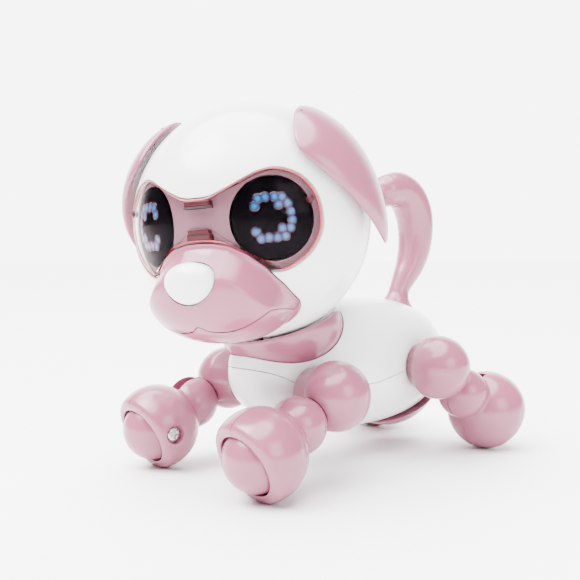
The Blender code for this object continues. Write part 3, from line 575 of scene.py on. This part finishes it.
def build_helmet():
    front = Polar((0, -1, -0.32), 420)
    skin = sphere(HEAD_R)
    opening = front.edge(in_face, skin, 0.02)
    back = front.edge(lambda p: p[:, 1] < HEAD_SPLIT - SPLIT_HALF, skin, 1.2)
    mesh = patch("helmet_front", front, skin, back, opening, HELMET_WALL, HEAD_EDGE, 70)
    mesh = cut_mesh(mesh, box_mesh(*POST_SLOT))
    head_piece("helmet_front", mesh, WHITE, ("head_shell_front",))

    rear = Polar((0, 1, 0), 200)
    rim = np.full(200, math.acos((HEAD_SPLIT + SPLIT_HALF) / HEAD_R))
    mesh = patch("helmet_rear", rear, skin, rim, None, HELMET_WALL, HEAD_EDGE, 40)
    wells = []
    x, y, z = HELMET_SCREW
    for side in (1, -1):
        wells.append(placed(rod(HELMET_WELL_R, -8, 8, 40), turn_to((0, 1, 0), (side * x, y, z))))
    mesh = cut_mesh(mesh, *wells)
    head_piece("helmet_rear", mesh, WHITE, ("head_shell_rear",))


def build_goggles():
    middle = Polar((0, -1, -0.12), 420)
    edge = middle.edge(in_goggle, sphere(HEAD_R), 0.0)
    mesh = patch("goggle_visor", middle, sphere(HEAD_R - 0.05), edge, None, VISOR_WALL, 0.4, 60)
    head_piece("goggle_visor", mesh, VISOR, ("visor",))
    # A thin bead just inside the visor's edge, where the clear plastic gathers its colour
    rows = []
    for angle in np.radians(np.linspace(0, 330, 12)):
        across, depth = 0.5 + 0.42 * math.cos(angle), 0.3 + 0.4 * math.sin(angle)
        rows.append(sphere(HEAD_R)(middle.at(edge - across / HEAD_R), depth))
    head_piece("goggle_rim", loft("rim", rows, cyclic=True), RIM)
    holes = []
    for side in (1, -1):
        holes.append(placed(rod(EYE_HOLE_R, 15, 45, 96), turn_to(eye_direction(side))))
    behind = sphere(HEAD_R - PLATE_DEPTH)
    mesh = patch("goggle_plate", middle, behind, edge + 0.02, None, PLATE_WALL, HEAD_EDGE, 60)
    mesh = cut_mesh(mesh, *holes)
    head_piece("goggle_plate", mesh, PLATE, ("face_plate",))


# Where an eye's lights sit, in steps of the display's own grid: a ring that opens towards the nose
LIGHT_STEP = 2.35
LIGHTS_AT = (
    (-2.2, 1.3), (-1.85, 2.2), (-1.0, 2.4), (0.1, 2.45), (1.0, 2.45), (1.65, 1.75), (0.55, 1.55),
    (2.05, 0.8), (2.2, -0.15), (2.05, -1.05), (1.05, -1.15), (1.45, -2.05), (0.5, -2.2), (-0.5, -2.25),
    (-1.4, -2.4), (-2.0, -1.65),
)
LIGHT_R = 1.5
# A light's section as (share of its radius, height over the display): a low lens let into the dome
LIGHT_SECTION = ((0, 0.05), (0.35, 0.048), (0.7, 0.04), (1.0, 0.012), (1.0, -0.1), (0, -0.12))


def build_eye(side, name):
    out = eye_direction(side)
    dome = EYE_DOME
    rim = math.degrees(math.acos(EYE_R / dome))
    inner = math.sqrt((dome - EYE_DEPTH) ** 2 - 11.0**2)
    profile = arc(dome, 90, rim + 0.6, 40) + [(EYE_R, dome * math.sin(math.radians(rim)) - 0.25)]
    profile += [(EYE_R, inner), (0, inner)]
    mesh = placed(lathe("display", profile, 128), turn_to(out))
    head_piece(f"display_{name}", mesh, DISPLAY, (f"eye_display_{name}",))

    across = Vector((math.cos(EYE[0]), side * math.sin(EYE[0]), 0))
    up = out.cross(across)
    up *= 1 if up.z > 0 else -1
    bm = bmesh.new()
    uv = bm.loops.layers.uv.new("UVMap")
    for u, v in LIGHTS_AT:
        middle = (out * dome + across * side * u * LIGHT_STEP + up * v * LIGHT_STEP).normalized()
        spot_x = across - middle * across.dot(middle)
        spot_x.normalize()
        spot_y = middle.cross(spot_x)
        rows = []
        for radius, lift in LIGHT_SECTION:
            ring = []
            for k in range(1 if radius == 0 else 24):
                angle = 2 * math.pi * k / 24
                flat = (spot_x * math.cos(angle) + spot_y * math.sin(angle)) * radius * LIGHT_R
                spot = (middle * dome + flat).normalized() * (dome + lift)
                ring.append((bm.verts.new(spot * MM), (radius * math.cos(angle), radius * math.sin(angle))))
            rows.append(ring)
        for first, second in zip(rows, rows[1:]):
            for corners in strip_corners(first, second):
                face = bm.faces.new([corner[0] for corner in corners])
                face.smooth = True
                for loop, corner in zip(face.loops, corners):
                    loop[uv].uv = corner[1]
    bmesh.ops.recalc_face_normals(bm, faces=bm.faces)
    head_piece(f"lights_{name}", to_mesh(bm, "lights"), LIGHTS)


def dome_strip(x0, x1, z0, z1, outer, inner, round_r=0.25):
    """A bar that follows the head's curve between two radii, its front edges rounded."""
    def spot(x, z, radius):
        return (x, -math.sqrt(max(radius**2 - x * x - z * z, 0.0)), z)

    columns, rows = 24, 8
    outline = []
    for k in range(columns):
        outline.append((x0 + (x1 - x0) * k / columns, z0))
    for k in range(rows):
        outline.append((x1, z0 + (z1 - z0) * k / rows))
    for k in range(columns):
        outline.append((x1 - (x1 - x0) * k / columns, z1))
    for k in range(rows):
        outline.append((x0, z1 - (z1 - z0) * k / rows))
    cx, cz = (x0 + x1) / 2, (z0 + z1) / 2

    def ring(shrink, radius):
        wide = 1 - 2 * shrink / abs(x1 - x0)
        tall = 1 - 2 * shrink / abs(z1 - z0)
        return [spot(cx + (x - cx) * wide, cz + (z - cz) * tall, radius) for x, z in outline]

    return loft("strip", [
        [spot(cx, cz, inner)],
        ring(0.0, inner),
        ring(0.0, outer - round_r),
        ring(round_r * 0.3, outer - round_r * 0.3),
        ring(round_r, outer),
        ring(min(x1 - x0, z1 - z0) * 0.35, outer),
        [spot(cx, cz, outer)],
    ])


def build_goggle_trim():
    head_piece("clip_top", dome_strip(-3.3, 4.3, -0.1, 1.2, 36.25, 34.2), MAROON)
    # Painted shade: a dark strip in the gap under the top clip
    head_piece("clip_top_gap_shade", dome_strip(-3.5, 4.5, -0.75, -0.2, 36.03, 34.2, round_r=0.08), DARK)
    head_piece("clip_low", dome_strip(-3.0, 3.9, -9.3, -7.7, 36.3, 34.0), MAROON)
    head_piece("clip_low_step", dome_strip(-2.7, 3.6, -7.55, -6.5, 36.12, 34.0), MAROON)
    # Painted shade: a dark strip in the gap between the lower clip and its step
    head_piece("clip_low_gap_shade", dome_strip(-3.0, 3.9, -7.75, -7.5, 36.03, 34.0, round_r=0.08), DARK)
    for side, name in ((1, "left"), (-1, "right")):
        out = Vector((side * 28.0, -22.4, 1.6)).normalized()
        profile = [(0, 36.55), (0.5, 36.5), (0.85, 36.3), (1.0, 36.0), (1.0, 34.6), (0, 34.6)]
        head_piece(f"goggle_peg_{name}", placed(lathe("peg", profile, 40), turn_to(out)), MAROON)


MOUTH_HALF = 0.13  # half of the fine line between the muzzle's two pieces
MOUTH = ((26, -19.5), (20.8, -25.6), (15, -30.8), (8.5, -33.6), (3, -33.7), (0, -32.5))


def nose_outline(grow):
    """The nose is a rounded triangle, wider at its top."""
    steps = 96
    points = []
    for k in range(steps):
        angle = 2 * math.pi * k / steps
        wide = NOSE_WIDE * (1 + 0.11 * math.sin(angle) - 0.02)
        points.append(((wide + grow) * math.cos(angle), (NOSE_TALL + grow) * math.sin(angle) + NOSE_Z))
    return points


def build_muzzle():
    polar = Polar((0, -1, -0.66), 420)
    outline = polar.edge(in_muzzle, muzzle_skin, 0.0)
    nose_hole = prism_mesh(nose_outline(NOSE_GAP), -60, -30, "Y")
    chin = placed(rod(CHIN_R, -42, -30, 32), Matrix.Translation(Vector((0, CHIN_Y, 0)) * MM))
    half = np.array(MOUTH)
    line = np.concatenate([half, half[-2::-1] * (-1, 1)])
    fine = np.array([line[0]] + smooth_line(line, np.linspace(0, 1, 9)[1:]))
    for name, sign, hole, node in (
        ("muzzle_top", 1, nose_hole, "muzzle_upper"), ("jaw", -1, chin, "muzzle_jaw")
    ):
        skin = patch("muzzle", polar, muzzle_skin, outline, None, MUZZLE_WALL, HEAD_EDGE, 110)
        far = -70 if sign > 0 else 20
        beyond = [(fine[-1][0], far), (fine[0][0], far)]
        block = prism_mesh(np.concatenate([fine + (0, sign * MOUTH_HALF), beyond]), -70, 5, "Y")
        head_piece(name, cut_mesh(skin, hole, block), PINK, (node,))


def build_nose():
    rings = []
    outline = np.array(nose_outline(0.0))
    middle = np.array((0, NOSE_Z))
    front = NOSE_FRONT
    rings.append([(0, front, NOSE_Z)])
    for angle in np.radians(np.linspace(6, 90, 22)):
        size = math.sin(angle) ** 0.9
        flat = middle + (outline - middle) * size
        rings.append(np.insert(flat, 1, front + 4.5 * (1 - math.cos(angle) ** 0.85), axis=1))
    rings.append(np.insert(outline, 1, front + 6.6, axis=1))
    rings.append(np.insert(middle + (outline - middle) * 0.9, 1, front + 7.2, axis=1))
    rings.append([(0, front + 7.2, NOSE_Z)])
    head_piece("nose", loft("nose", rings), WHITE, ("nose_button",), "nose")


def build_ear(side, name):
    """A leaf that hugs the head from its root by the crown to its tip, which stands off the most."""
    rings = []
    for rise in np.linspace(-90, 90, 73):
        down, wide = math.sin(math.radians(rise)), math.cos(math.radians(rise))
        along = (down + 1) / 2
        ring = []
        for angle in np.linspace(0, 2 * math.pi, 72, endpoint=False):
            across, thick = wide * math.cos(angle), wide * math.sin(angle)
            roll = math.radians(33 + 69 * along)
            middle = -8 - 3 * math.sin(math.pi * along) * (1 - along) + 14 * along**4
            y = middle + 15 * (1 - 0.58 * max(0, along - 0.4)) * across
            radial = HEAD_R + 0.6 + 3.2 * along**3 + 1.5 + (2.8 if thick > 0 else 1.5) * thick
            level = math.sqrt(radial**2 - y**2)
            ring.append((side * level * math.sin(roll), y, level * math.cos(roll)))
        rings.append(ring if wide > 1e-3 else [ring[0]])
    head_piece(f"ear_{name}_leaf", loft("ear", rings), PINK, (f"ear_{name}",), f"{name}_ear")
    roll = math.radians(39)
    out = Vector((side * math.sin(roll), -0.41, math.cos(roll)))
    # Painted shade: a dark cap set in the ear's hinge hole for the shadow inside it
    hole_shade = [(0, 39.35), (0.35, 39.3), (0.5, 39.1), (0.5, 37.5), (0, 37.5)]
    head_piece(f"ear_{name}_pinhole_shade", placed(lathe("hole_shade", hole_shade, 24), turn_to(out)), DARK, body=f"{name}_ear")


build_helmet()
build_goggles()
build_eye(1, "left")
build_eye(-1, "right")
build_goggle_trim()
build_muzzle()
build_nose()
build_ear(1, "left")
build_ear(-1, "right")


# ---------------------------------------------------------------- torso
EGG_RADII = np.array((19.6, 44.0, 21.2))
EGG_CENTRE = (0.0, 7.0, 31.2)
SEAM_LINE = (
    (-60, 34), (-45, 33.6), (-36, 33), (-32, 32.0), (-28, 30.4), (-24.5, 28.2), (-21, 26.6), (-15, 25.9),
    (-5, 25.8), (5, 26.5), (15, 28.6), (25.8, 30.9), (40, 32.4), (70, 34),
)
BODY_WALL, SEAM_HALF = 2.0, 0.12
COVER_LINE = ((19.0, 9.0), (47.5, 19.5))
COVER_WIDTH = 17.0
COVER_RADII, COVER_CENTRE = np.array((17.0, 20.6, 20.0)), (0, 29.5, 27.0)
SWITCH_SLOT = ((-2.2, 41, 10), (2.2, 46, 24))
COVER_WELL_Y, COVER_WELL_R, COVER_WELL_TOP = 25, 2.9, 11.2
LEGS = ("front_left", "front_right", "rear_left", "rear_right")
LEG_X = 26.4  # from the middle plane to the plane in which a leg swings
HUB_END = {"front": 15.9, "rear": 19.0}  # how far from the middle plane a leg's hub ends inside the body
TAIL_SEAT_R, TAIL_BORE_R, SPINDLE_R = 6.4, 2.3, 1.9
NECK_POST_R, NECK_FLANGE_R = 3.3, 4.7
TO_BODY = Matrix.Translation(TORSO - Vector(EGG_CENTRE) * MM)
HEAD_SPOT = np.array((0.0, -30.0, 77.3))
COLLAR_SPOT = np.array((0.0, -19.2, 44.9))
COLLAR_WIDE, COLLAR_TALL = 19.6, 15.2


def body_piece(name, mesh, material, replaced=(), body="torso"):
    return new_object(name, mesh, material, body, replaced, TO_BODY)


def tail_seat():
    """The tail's own frame on the rump, with Z along its swivel."""
    swivel, across = direction("tail_swivel"), Vector((1, 0, 0))
    return TO_BODY.inverted() @ frame_matrix(pivot("tail_swivel"), across, swivel.cross(across))


def blob(radii, centre, power=2.0, taper=0.0, segments=112, rings=72):
    """A dense ellipsoid with its poles along Y, squarer as power grows past 2."""
    rows = []
    for angle in np.linspace(-90, 90, rings + 1):
        y, ring = math.sin(math.radians(angle)), math.cos(math.radians(angle))
        turn = np.linspace(0, 2 * math.pi, segments, endpoint=False)
        d = np.stack([ring * np.cos(turn), np.full(segments, y), ring * np.sin(turn)], axis=1)
        d /= (np.abs(d) ** power).sum(axis=1, keepdims=True) ** (1 / power)
        width = 1 + taper * d[:, 1]
        d = d * radii
        d[:, 0] *= width
        d[:, 2] *= width
        rows.append(d + centre if ring > 1e-6 else (d + centre)[:1])
    return loft("blob", rows)


def egg(wall=0.0, segments=112, rings=72):
    """The body's outside, or its inside at the wall's depth."""
    return blob(EGG_RADII - wall, EGG_CENTRE, 2.3, 0.07, segments, rings)


def seam_block(above):
    """All that lies above, or below, the line between the body's two shells."""
    sign = 1 if above else -1
    line = [(y, z - sign * SEAM_HALF) for y, z in SEAM_LINE]
    far = 150 if above else -90
    return prism_mesh(line + [(line[-1][0], far), (line[0][0], far)], -40, 40, "X")


def cover_wedge(lift, half_width):
    """The space under the belly cover's plane, let in by the gap around it."""
    (front_y, front_z), (rear_y, rear_z) = COVER_LINE
    slope = (rear_z - front_z) / (rear_y - front_y)
    ends = [(y, front_z + slope * (y - front_y) + lift) for y in (front_y, 70)]
    return prism_mesh(
        [(front_y - 0.5 * lift, -20), (front_y - 0.5 * lift, ends[0][1]), ends[1], (70, -20)],
        -half_width, half_width, "X",
    )


def hub_pockets():
    """Conical recesses that the legs' hubs turn in."""
    pockets = []
    for place in LEGS:
        side = 1 if place.endswith("left") else -1
        end = HUB_END[place.split("_")[0]]
        hip = TO_BODY.inverted() @ pivot(place + "_hip")
        profile = [(0, end - GAP), (7.8, end - GAP), (10.15, 23.3), (10.15, 30), (0, 30)]
        pocket = lathe("pocket", profile, 96)
        place_it = Matrix.Translation(Vector((0, hip.y, hip.z))) @ turn_to((side, 0, 0))
        pockets.append(placed(pocket, place_it))
    return pockets


def belly_openings():
    """The power switch's slot and the screw's well, through the cover and the shell behind it."""
    well = rod(COVER_WELL_R, 0, COVER_WELL_TOP, 48)
    return box_mesh(*SWITCH_SLOT), placed(well, Matrix.Translation(Vector((0, COVER_WELL_Y, 0)) * MM))


def build_torso():
    seat = tail_seat()
    neck = blob(np.array((COLLAR_WIDE, COLLAR_WIDE, COLLAR_TALL)) + GAP, COLLAR_SPOT)
    recess = placed(rod(TAIL_SEAT_R, 0, 14, 72), seat)
    bore = placed(rod(TAIL_BORE_R, -9, 3, 40), seat)
    upper = cut_mesh(
        egg(), egg(BODY_WALL, 64, 40), seam_block(False), neck, *hub_pockets(), recess, bore
    )
    body_piece("torso_upper", upper, WHITE, ("body_shell_upper",))

    lower = cut_mesh(
        egg(), egg(BODY_WALL, 64, 40), seam_block(True), *hub_pockets(),
        cover_wedge(GAP, COVER_WIDTH + GAP), *belly_openings(),
    )
    body_piece("torso_lower", lower, WHITE, ("body_shell_lower",))

    cover = blob(COVER_RADII, COVER_CENTRE, segments=96, rings=64)
    (front_y, front_z), (rear_y, rear_z) = COVER_LINE
    start_z = front_z - GAP
    end_z = start_z + (70 - front_y) * (rear_z - front_z) / (rear_y - front_y)
    above = prism_mesh(
        [(-40, 1.2), (front_y - GAP, 1.2), (front_y, start_z), (70, end_z), (70, 90), (-40, 90)],
        -60, 60, "X",
    )
    cover = cut_mesh(cover, above, *belly_openings())
    body_piece("belly_cover", cover, PINK, ("battery_cover",))


def build_collar():
    """A bowl whose top is hollowed to the head's own curve, with a rounded rim."""
    columns, steps, corner = 128, 40, 2.2
    socket = HEAD_R + 0.8

    def socket_height(x, y):
        return HEAD_SPOT[2] - math.sqrt(socket**2 - x * x - (y - HEAD_SPOT[1]) ** 2)

    lines = []
    for turn in np.linspace(0, 2 * math.pi, columns, endpoint=False):
        cos, sin = math.cos(turn), math.sin(turn)

        def outer(t):
            wide = COLLAR_WIDE * math.cos(t)
            return np.array((wide, COLLAR_SPOT[2] + COLLAR_TALL * math.sin(t)))

        def inner_height(wide):
            return socket_height(wide * cos, COLLAR_SPOT[1] + wide * sin)

        low, high = math.radians(-60), math.radians(60)
        for _ in range(40):
            middle = (low + high) / 2
            wide, height = outer(middle)
            if height < inner_height(wide):
                low = middle
            else:
                high = middle
        rim_wide, rim_height = outer(low)
        back_t = low - corner / COLLAR_WIDE
        section = [outer(t) for t in np.linspace(-math.pi / 2 + 0.02, back_t, steps)]
        turn_in = np.array((rim_wide - corner, inner_height(rim_wide - corner)))
        start = section[-1]
        tip = np.array((rim_wide, rim_height))
        for t in np.linspace(0, 1, 11)[1:]:
            section.append(start * (1 - t) ** 2 + tip * 2 * t * (1 - t) + turn_in * t**2)
        for wide in np.linspace(rim_wide - corner, 0.4, 24)[1:]:
            section.append(np.array((wide, inner_height(wide))))
        lines.append([(w * cos, COLLAR_SPOT[1] + w * sin, z) for w, z in section])
    rings = [[line[k] for line in lines] for k in range(len(lines[0]))]
    rings.insert(0, [(0, COLLAR_SPOT[1], COLLAR_SPOT[2] - COLLAR_TALL)])
    rings.append([(0, COLLAR_SPOT[1], socket_height(0, COLLAR_SPOT[1]))])
    mesh = loft("collar", rings)
    post, flange = rod(NECK_POST_R, 30, 52, 48), rod(NECK_FLANGE_R, 25, 37.6, 48)
    for tool in (post, flange):
        tool.transform(Matrix.Translation(Vector((0, HEAD_SPOT[1], 0)) * MM))
    body_piece("collar", cut_mesh(mesh, flange, post), PINK, ("neck_collar",))


# Centre line of the tail (Y, Z) and its radius there, root first
TAIL_LINE = (
    (34.8, 50.3, 4.9), (35.3, 52.2, 3.9), (36.2, 54.8, 3.55), (38.6, 58.6, 4.2), (41.8, 63.4, 5.1),
    (44.0, 69.0, 5.8), (44.8, 75.5, 6.3), (43.8, 82.0, 6.6), (40.4, 87.4, 6.6), (35.2, 90.0, 6.3),
    (30.2, 89.5, 5.7),
)


# The trumpet foot as (height over its base, radius): a thin rounded lip on the rump's seat
TAIL_BASE, TAIL_LEAN = np.array((34.6, 48.7)), math.radians(17)
TAIL_FOOT = ((0.35, 5.3), (0.4, 5.65), (0.6, 5.75), (0.85, 5.6), (1.2, 5.25))


def build_tail():
    line = np.array(TAIL_LINE)
    fine = np.array(smooth_line(line, np.linspace(0, 1, 10, endpoint=False)) + [line[-1]])
    spots, radii = fine[:, :2], fine[:, 2]
    along = np.gradient(spots, axis=0)
    along /= np.linalg.norm(along, axis=1)[:, None]
    # The round end closes as half a ball
    tip, out, size = spots[-1], along[-1], radii[-1]
    for angle in np.radians(np.linspace(10, 84, 10)):
        spots = np.vstack([spots, tip + out * size * math.sin(angle)])
        along = np.vstack([along, out])
        radii = np.append(radii, size * math.cos(angle))
    up = np.array((math.sin(TAIL_LEAN), math.cos(TAIL_LEAN)))
    foot = np.array(TAIL_FOOT)
    spots = np.vstack([TAIL_BASE + up * foot[:, :1], spots])
    along = np.vstack([np.tile(up, (len(foot), 1)), along])
    radii = np.concatenate([foot[:, 1], radii])
    rings = [[(0, *spots[0])]]
    turn = np.linspace(0, 2 * math.pi, 72, endpoint=False)
    for (y, z), (dy, dz), radius in zip(spots, along, radii):
        side = radius * np.cos(turn)
        lift = radius * np.sin(turn)
        rings.append(np.stack([side, y - dz * lift, z + dy * lift], axis=1))
    rings.append([(0, *(tip + out * size))])
    mesh = merged("tail", loft("tail", rings), placed(rod(SPINDLE_R, -2.2, 2, 40), tail_seat()))
    body_piece("tail_banana", mesh, PINK, ("tail",), "tail_body")


# ---------------------------------------------------------------- legs
HIP_R, KNEE_R, PAW_R = 10.4, 8.4, 13.3
KNEE_TO_PAW = 14.8
LIP, LIP_R, ROLLER_FORWARD, HOLLOW_R = 5.9, 2.5, 1.4, 10.15
SLOT_R, SLOT_HALF, SLOT_SWING = 6.1, 2.3, 34
TONGUE_R, TONGUE_HALF = 5.5, 2
AXLE_R, PIN_R = 2.3, 1.9
PAW_SEAM_HALF = 0.1
PAW_WELL = ((0, 11.3), (2.7, 11.3), (3.0, 13.2), (3.2, 16), (0, 16))
SCREW_HEAD_R, SCREW_HEAD_DEPTH, SCREW_LENGTH, SCREW_TOP = 2.2, 1.3, 6.0, 12.4
ROLLER_R, ROLLER_HALF, ROLLER_END = 9.6, 9.35, 8.55
GROUND = ((-80, -90, -8), (80, 90, 0))


def paw_profile():
    """The lower leg in section: up the roller's hollow, round the full lip and back to the knee."""
    lip_low = LIP - LIP_R
    lip_out = math.sqrt((PAW_R - LIP_R) ** 2 - lip_low**2)
    lip_end = math.degrees(math.atan2(lip_low, lip_out))
    hollow_top = math.degrees(math.asin((LIP - 0.45 - ROLLER_FORWARD) / HOLLOW_R))
    crease = (KNEE_TO_PAW**2 + KNEE_R**2 - PAW_R**2) / (2 * KNEE_TO_PAW)
    paw_end = -math.degrees(math.asin((KNEE_TO_PAW - crease) / PAW_R))
    knee_start = math.degrees(math.asin(crease / KNEE_R))
    hollow = arc(HOLLOW_R, -90, hollow_top, 40, (0, ROLLER_FORWARD))
    inner_edge = [(hollow[-1][0] + 0.08, LIP - 0.15), (hollow[-1][0] + 0.35, LIP - 0.02)]
    lip = arc(LIP_R, 88, lip_end, 14, (lip_out, lip_low))
    paw = arc(PAW_R, lip_end, paw_end + 2, 44)[1:]
    knee = arc(KNEE_R, knee_start - 3, -90, 40, (0, -KNEE_TO_PAW))
    start, end = [(0.0, hollow[0][1])], [(0.0, -KNEE_TO_PAW - KNEE_R)]
    return start + hollow[1:] + inner_edge + lip + paw + knee[:-1] + end


def knee_slot(matrix):
    """The knee's inside: a flat round hollow with a mouth towards the hip."""
    hollow = arc(SLOT_R, SLOT_SWING + 22, 360 - SLOT_SWING - 22, 40)
    mouth = arc((KNEE_R + 2) / math.cos(math.radians(SLOT_SWING)), -SLOT_SWING, SLOT_SWING, 1)
    return placed(prism_mesh(hollow + mouth, -SLOT_HALF, SLOT_HALF, "X"), matrix)


def screw_mesh():
    """A cross-head screw along Z: its domed head's top at zero, the shank below."""
    head_r, depth, length = SCREW_HEAD_R, SCREW_HEAD_DEPTH, SCREW_LENGTH
    profile = [
        (0, 0.0), (head_r * 0.5, -0.06), (head_r * 0.85, -0.25), (head_r, -0.6), (head_r, -depth),
        (head_r * 0.5, -depth), (head_r * 0.5, -length), (0, -length - 0.6),
    ]
    screw = lathe("screw", profile, 48)
    arm, wide = head_r * 0.62, head_r * 0.16
    return cut_mesh(
        screw, box_mesh((-arm, -wide, -0.9), (arm, wide, 1)), box_mesh((-wide, -arm, -0.9), (wide, arm, 1))
    )


def build_leg(place):
    side = 1 if place.endswith("left") else -1
    hub = LEG_X - HUB_END[place.split("_")[0]]
    hip, knee, roll = pivot(place + "_hip"), pivot(place + "_knee"), pivot(place + "_roll")
    out = Vector((side, 0, 0))
    thigh, shin = (knee - hip).normalized(), (roll - knee).normalized()
    paw = knee + shin * KNEE_TO_PAW * MM
    at_hip = frame_matrix(hip, thigh, out.cross(thigh))
    at_paw = frame_matrix(paw, out, shin.cross(out))
    at_knee = frame_matrix(knee, out, -thigh)

    # The thigh: a dome outside, a shoulder line, and a cone down to the hub inside the body
    dome = arc(HIP_R, 90, -13.2, 40)
    profile = [(0.0, HIP_R)] + dome[1:] + [(9.93, -2.85), (9.6, -3.15), (7.55, 0.2 - hub), (7.3, -hub)]
    profile += [(AXLE_R, -hub), (AXLE_R, 5.0), (0.0, 5.0)]
    clear = KNEE_R + GAP
    ball = lathe("ball", [(0, clear)] + arc(clear, 88, -88, 40) + [(0, -clear)], 80)
    upper = cut_mesh(placed(lathe("upper", profile, 112), at_hip), placed(ball, Matrix.Translation(knee)))
    disc = [(PIN_R, -TONGUE_HALF), (TONGUE_R, -TONGUE_HALF), (TONGUE_R, TONGUE_HALF), (PIN_R, TONGUE_HALF)]
    tongue = lathe("tongue", disc, 64, cyclic=True)
    tongue = placed(tongue, at_knee @ Matrix.Rotation(math.pi / 2, 4, "Y"))
    neck = placed(box_mesh((4.5, -2.5, -2.0), (12.0, 2.5, 2.0)), at_hip)
    upper = merged("upper", upper, tongue, neck)
    new_object(place + "_thigh", upper, PINK, place + "_upper", (place + "_upper_leg",))

    at_screw = Matrix.Translation(roll) @ turn_to(-out)
    for half, sign in (("outer", 1), ("inner", -1)):
        mesh = placed(lathe("lower", paw_profile(), 128), at_paw)
        ends = sorted((-sign * 40, sign * PAW_SEAM_HALF))
        tools = [
            placed(box_mesh((ends[0], -40, -40), (ends[1], 40, 40)), at_paw),
            knee_slot(at_knee @ Matrix.Rotation(-math.pi / 2, 4, "X")),
            box_mesh(*GROUND),
        ]
        if sign < 0:
            tools.append(placed(lathe("well", PAW_WELL, 56), at_screw))
        mesh = cut_mesh(mesh, *tools)
        name = f"{place}_foot_{half}"
        new_object(name, mesh, PINK, place + "_lower", (f"{place}_paw_{half}",))
    screw = placed(screw_mesh(), at_screw @ Matrix.Translation((0, 0, SCREW_TOP * MM)))
    new_object(place + "_screw", screw, STEEL, place + "_lower", (place + "_paw_screw",))

    barrel = [(AXLE_R, 8.3), (4.2, 8.7)]
    for angle in np.linspace(-80, 80, 61):
        along = -ROLLER_END * math.sin(math.radians(angle)) / math.sin(math.radians(80))
        barrel.append((ROLLER_R * math.sqrt(1 - (along / ROLLER_HALF) ** 2), along))
    barrel += [(4.2, -8.7), (AXLE_R, -8.3)]
    roller = placed(lathe("roller", barrel, 112, cyclic=True), Matrix.Translation(roll) @ turn_to(out))
    new_object(place + "_ball", roller, PINK, place + "_roller", (place + "_paw_roller",))


build_torso()
build_collar()
build_tail()
for leg in LEGS:
    build_leg(leg)


# ---------------------------------------------------------------- parts carried over as they are
FINISHES = {
    "white_gloss": WHITE, "pink_gloss": PINK, "steel": STEEL, "cell_steel": CELL, "display_black": DISPLAY,
    "face_plate_pink": PLATE, "circuit_board": BOARD, "dark_plastic": DARK, "visor_clear_pink": VISOR,
}
for node in frame["nodes"].values():
    for holder in node.material_slots:
        holder.material = FINISHES[holder.material.name]


# ---------------------------------------------------------------- stage, light and camera
VIEW_BEARING = 49.6  # degrees round from the toy's front towards its left


def build_stage():
    bm = bmesh.new()
    bmesh.ops.create_grid(bm, x_segments=8, y_segments=8, size=12)
    mesh = to_mesh(bm, "floor")
    floor = linked("floor", mesh)
    material, nodes, links, shader = node_material("pale_floor")
    cloud = object_noise(nodes, links, 1.3, 2)
    links.new(
        ramp(nodes, links, cloud.outputs["Fac"], (0.94, 0.94, 0.935), (0.96, 0.96, 0.955)),
        shader.inputs["Base Color"],
    )
    shader.inputs["Roughness"].default_value = 0.6
    mesh.materials.append(material)


def area_light(name, at, aim, size, power):
    data = bpy.data.lights.new(name, "AREA")
    data.shape = "RECTANGLE"
    data.size, data.size_y = size
    data.energy = power
    light = linked(name, data)
    light.location = at
    light.rotation_mode = "QUATERNION"
    light.rotation_quaternion = (Vector(aim) - Vector(at)).to_track_quat("-Z", "Y")


def build_sky_panel():
    """A very broad overhead panel that lights the whole floor evenly."""
    data = bpy.data.lights.new("overhead", "SUN")
    data.energy = 19
    data.angle = math.radians(75)
    light = linked("overhead", data)
    light.rotation_mode = "QUATERNION"
    light.rotation_quaternion = Vector((0.08, 0.22, -1)).to_track_quat("-Z", "Y")


def build_world():
    """A dim room with one broad white backdrop, far behind the toy."""
    world = bpy.data.worlds.new("studio")
    world.use_nodes = True
    nodes, links = world.node_tree.nodes, world.node_tree.links
    where = nodes.new("ShaderNodeTexCoord")
    toward = nodes.new("ShaderNodeVectorMath")
    toward.operation = "DOT_PRODUCT"
    bearing = math.radians(VIEW_BEARING)
    toward.inputs[1].default_value = (-math.sin(bearing), math.cos(bearing), 0)
    links.new(where.outputs["Generated"], toward.inputs[0])
    level = nodes.new("ShaderNodeMapRange")
    level.interpolation_type = "SMOOTHSTEP"
    level.inputs["From Min"].default_value = 0.45
    level.inputs["From Max"].default_value = 0.9
    level.inputs["To Min"].default_value = 0.35
    level.inputs["To Max"].default_value = 7.0
    links.new(toward.outputs["Value"], level.inputs["Value"])
    links.new(level.outputs["Result"], nodes["Background"].inputs["Strength"])
    nodes["Background"].inputs["Color"].default_value = (1, 1, 1, 1)
    bpy.context.scene.world = world


def build_camera():
    data = bpy.data.cameras.new("camera")
    data.sensor_width = 36
    data.lens = 52.2
    data.clip_start, data.clip_end = 0.01, 10
    camera = linked("camera", data)
    bearing, height, roll = math.radians(VIEW_BEARING), math.radians(2.28), math.radians(-0.47)
    back = Vector((
        math.sin(bearing) * math.cos(height), -math.cos(bearing) * math.cos(height), math.sin(height)
    ))
    target = HEAD + Vector((-43.65, 51.9, -23.6)) * MM
    camera.location = target + back * 0.325
    turn = (-back).to_track_quat("-Z", "Y").to_matrix() @ Matrix.Rotation(roll, 3, "Z")
    camera.rotation_mode = "QUATERNION"
    camera.rotation_quaternion = turn.to_quaternion()
    bpy.context.scene.camera = camera


build_stage()
build_world()
middle = HEAD + Vector((0, 30, -30)) * MM
area_light("key", middle + Vector((-0.2, -0.55, 0.85)), middle, (0.5, 0.5), 16)
area_light("side", middle + Vector((0.95, 0.0, 0.35)), middle, (0.5, 0.5), 6)
build_sky_panel()
build_camera()
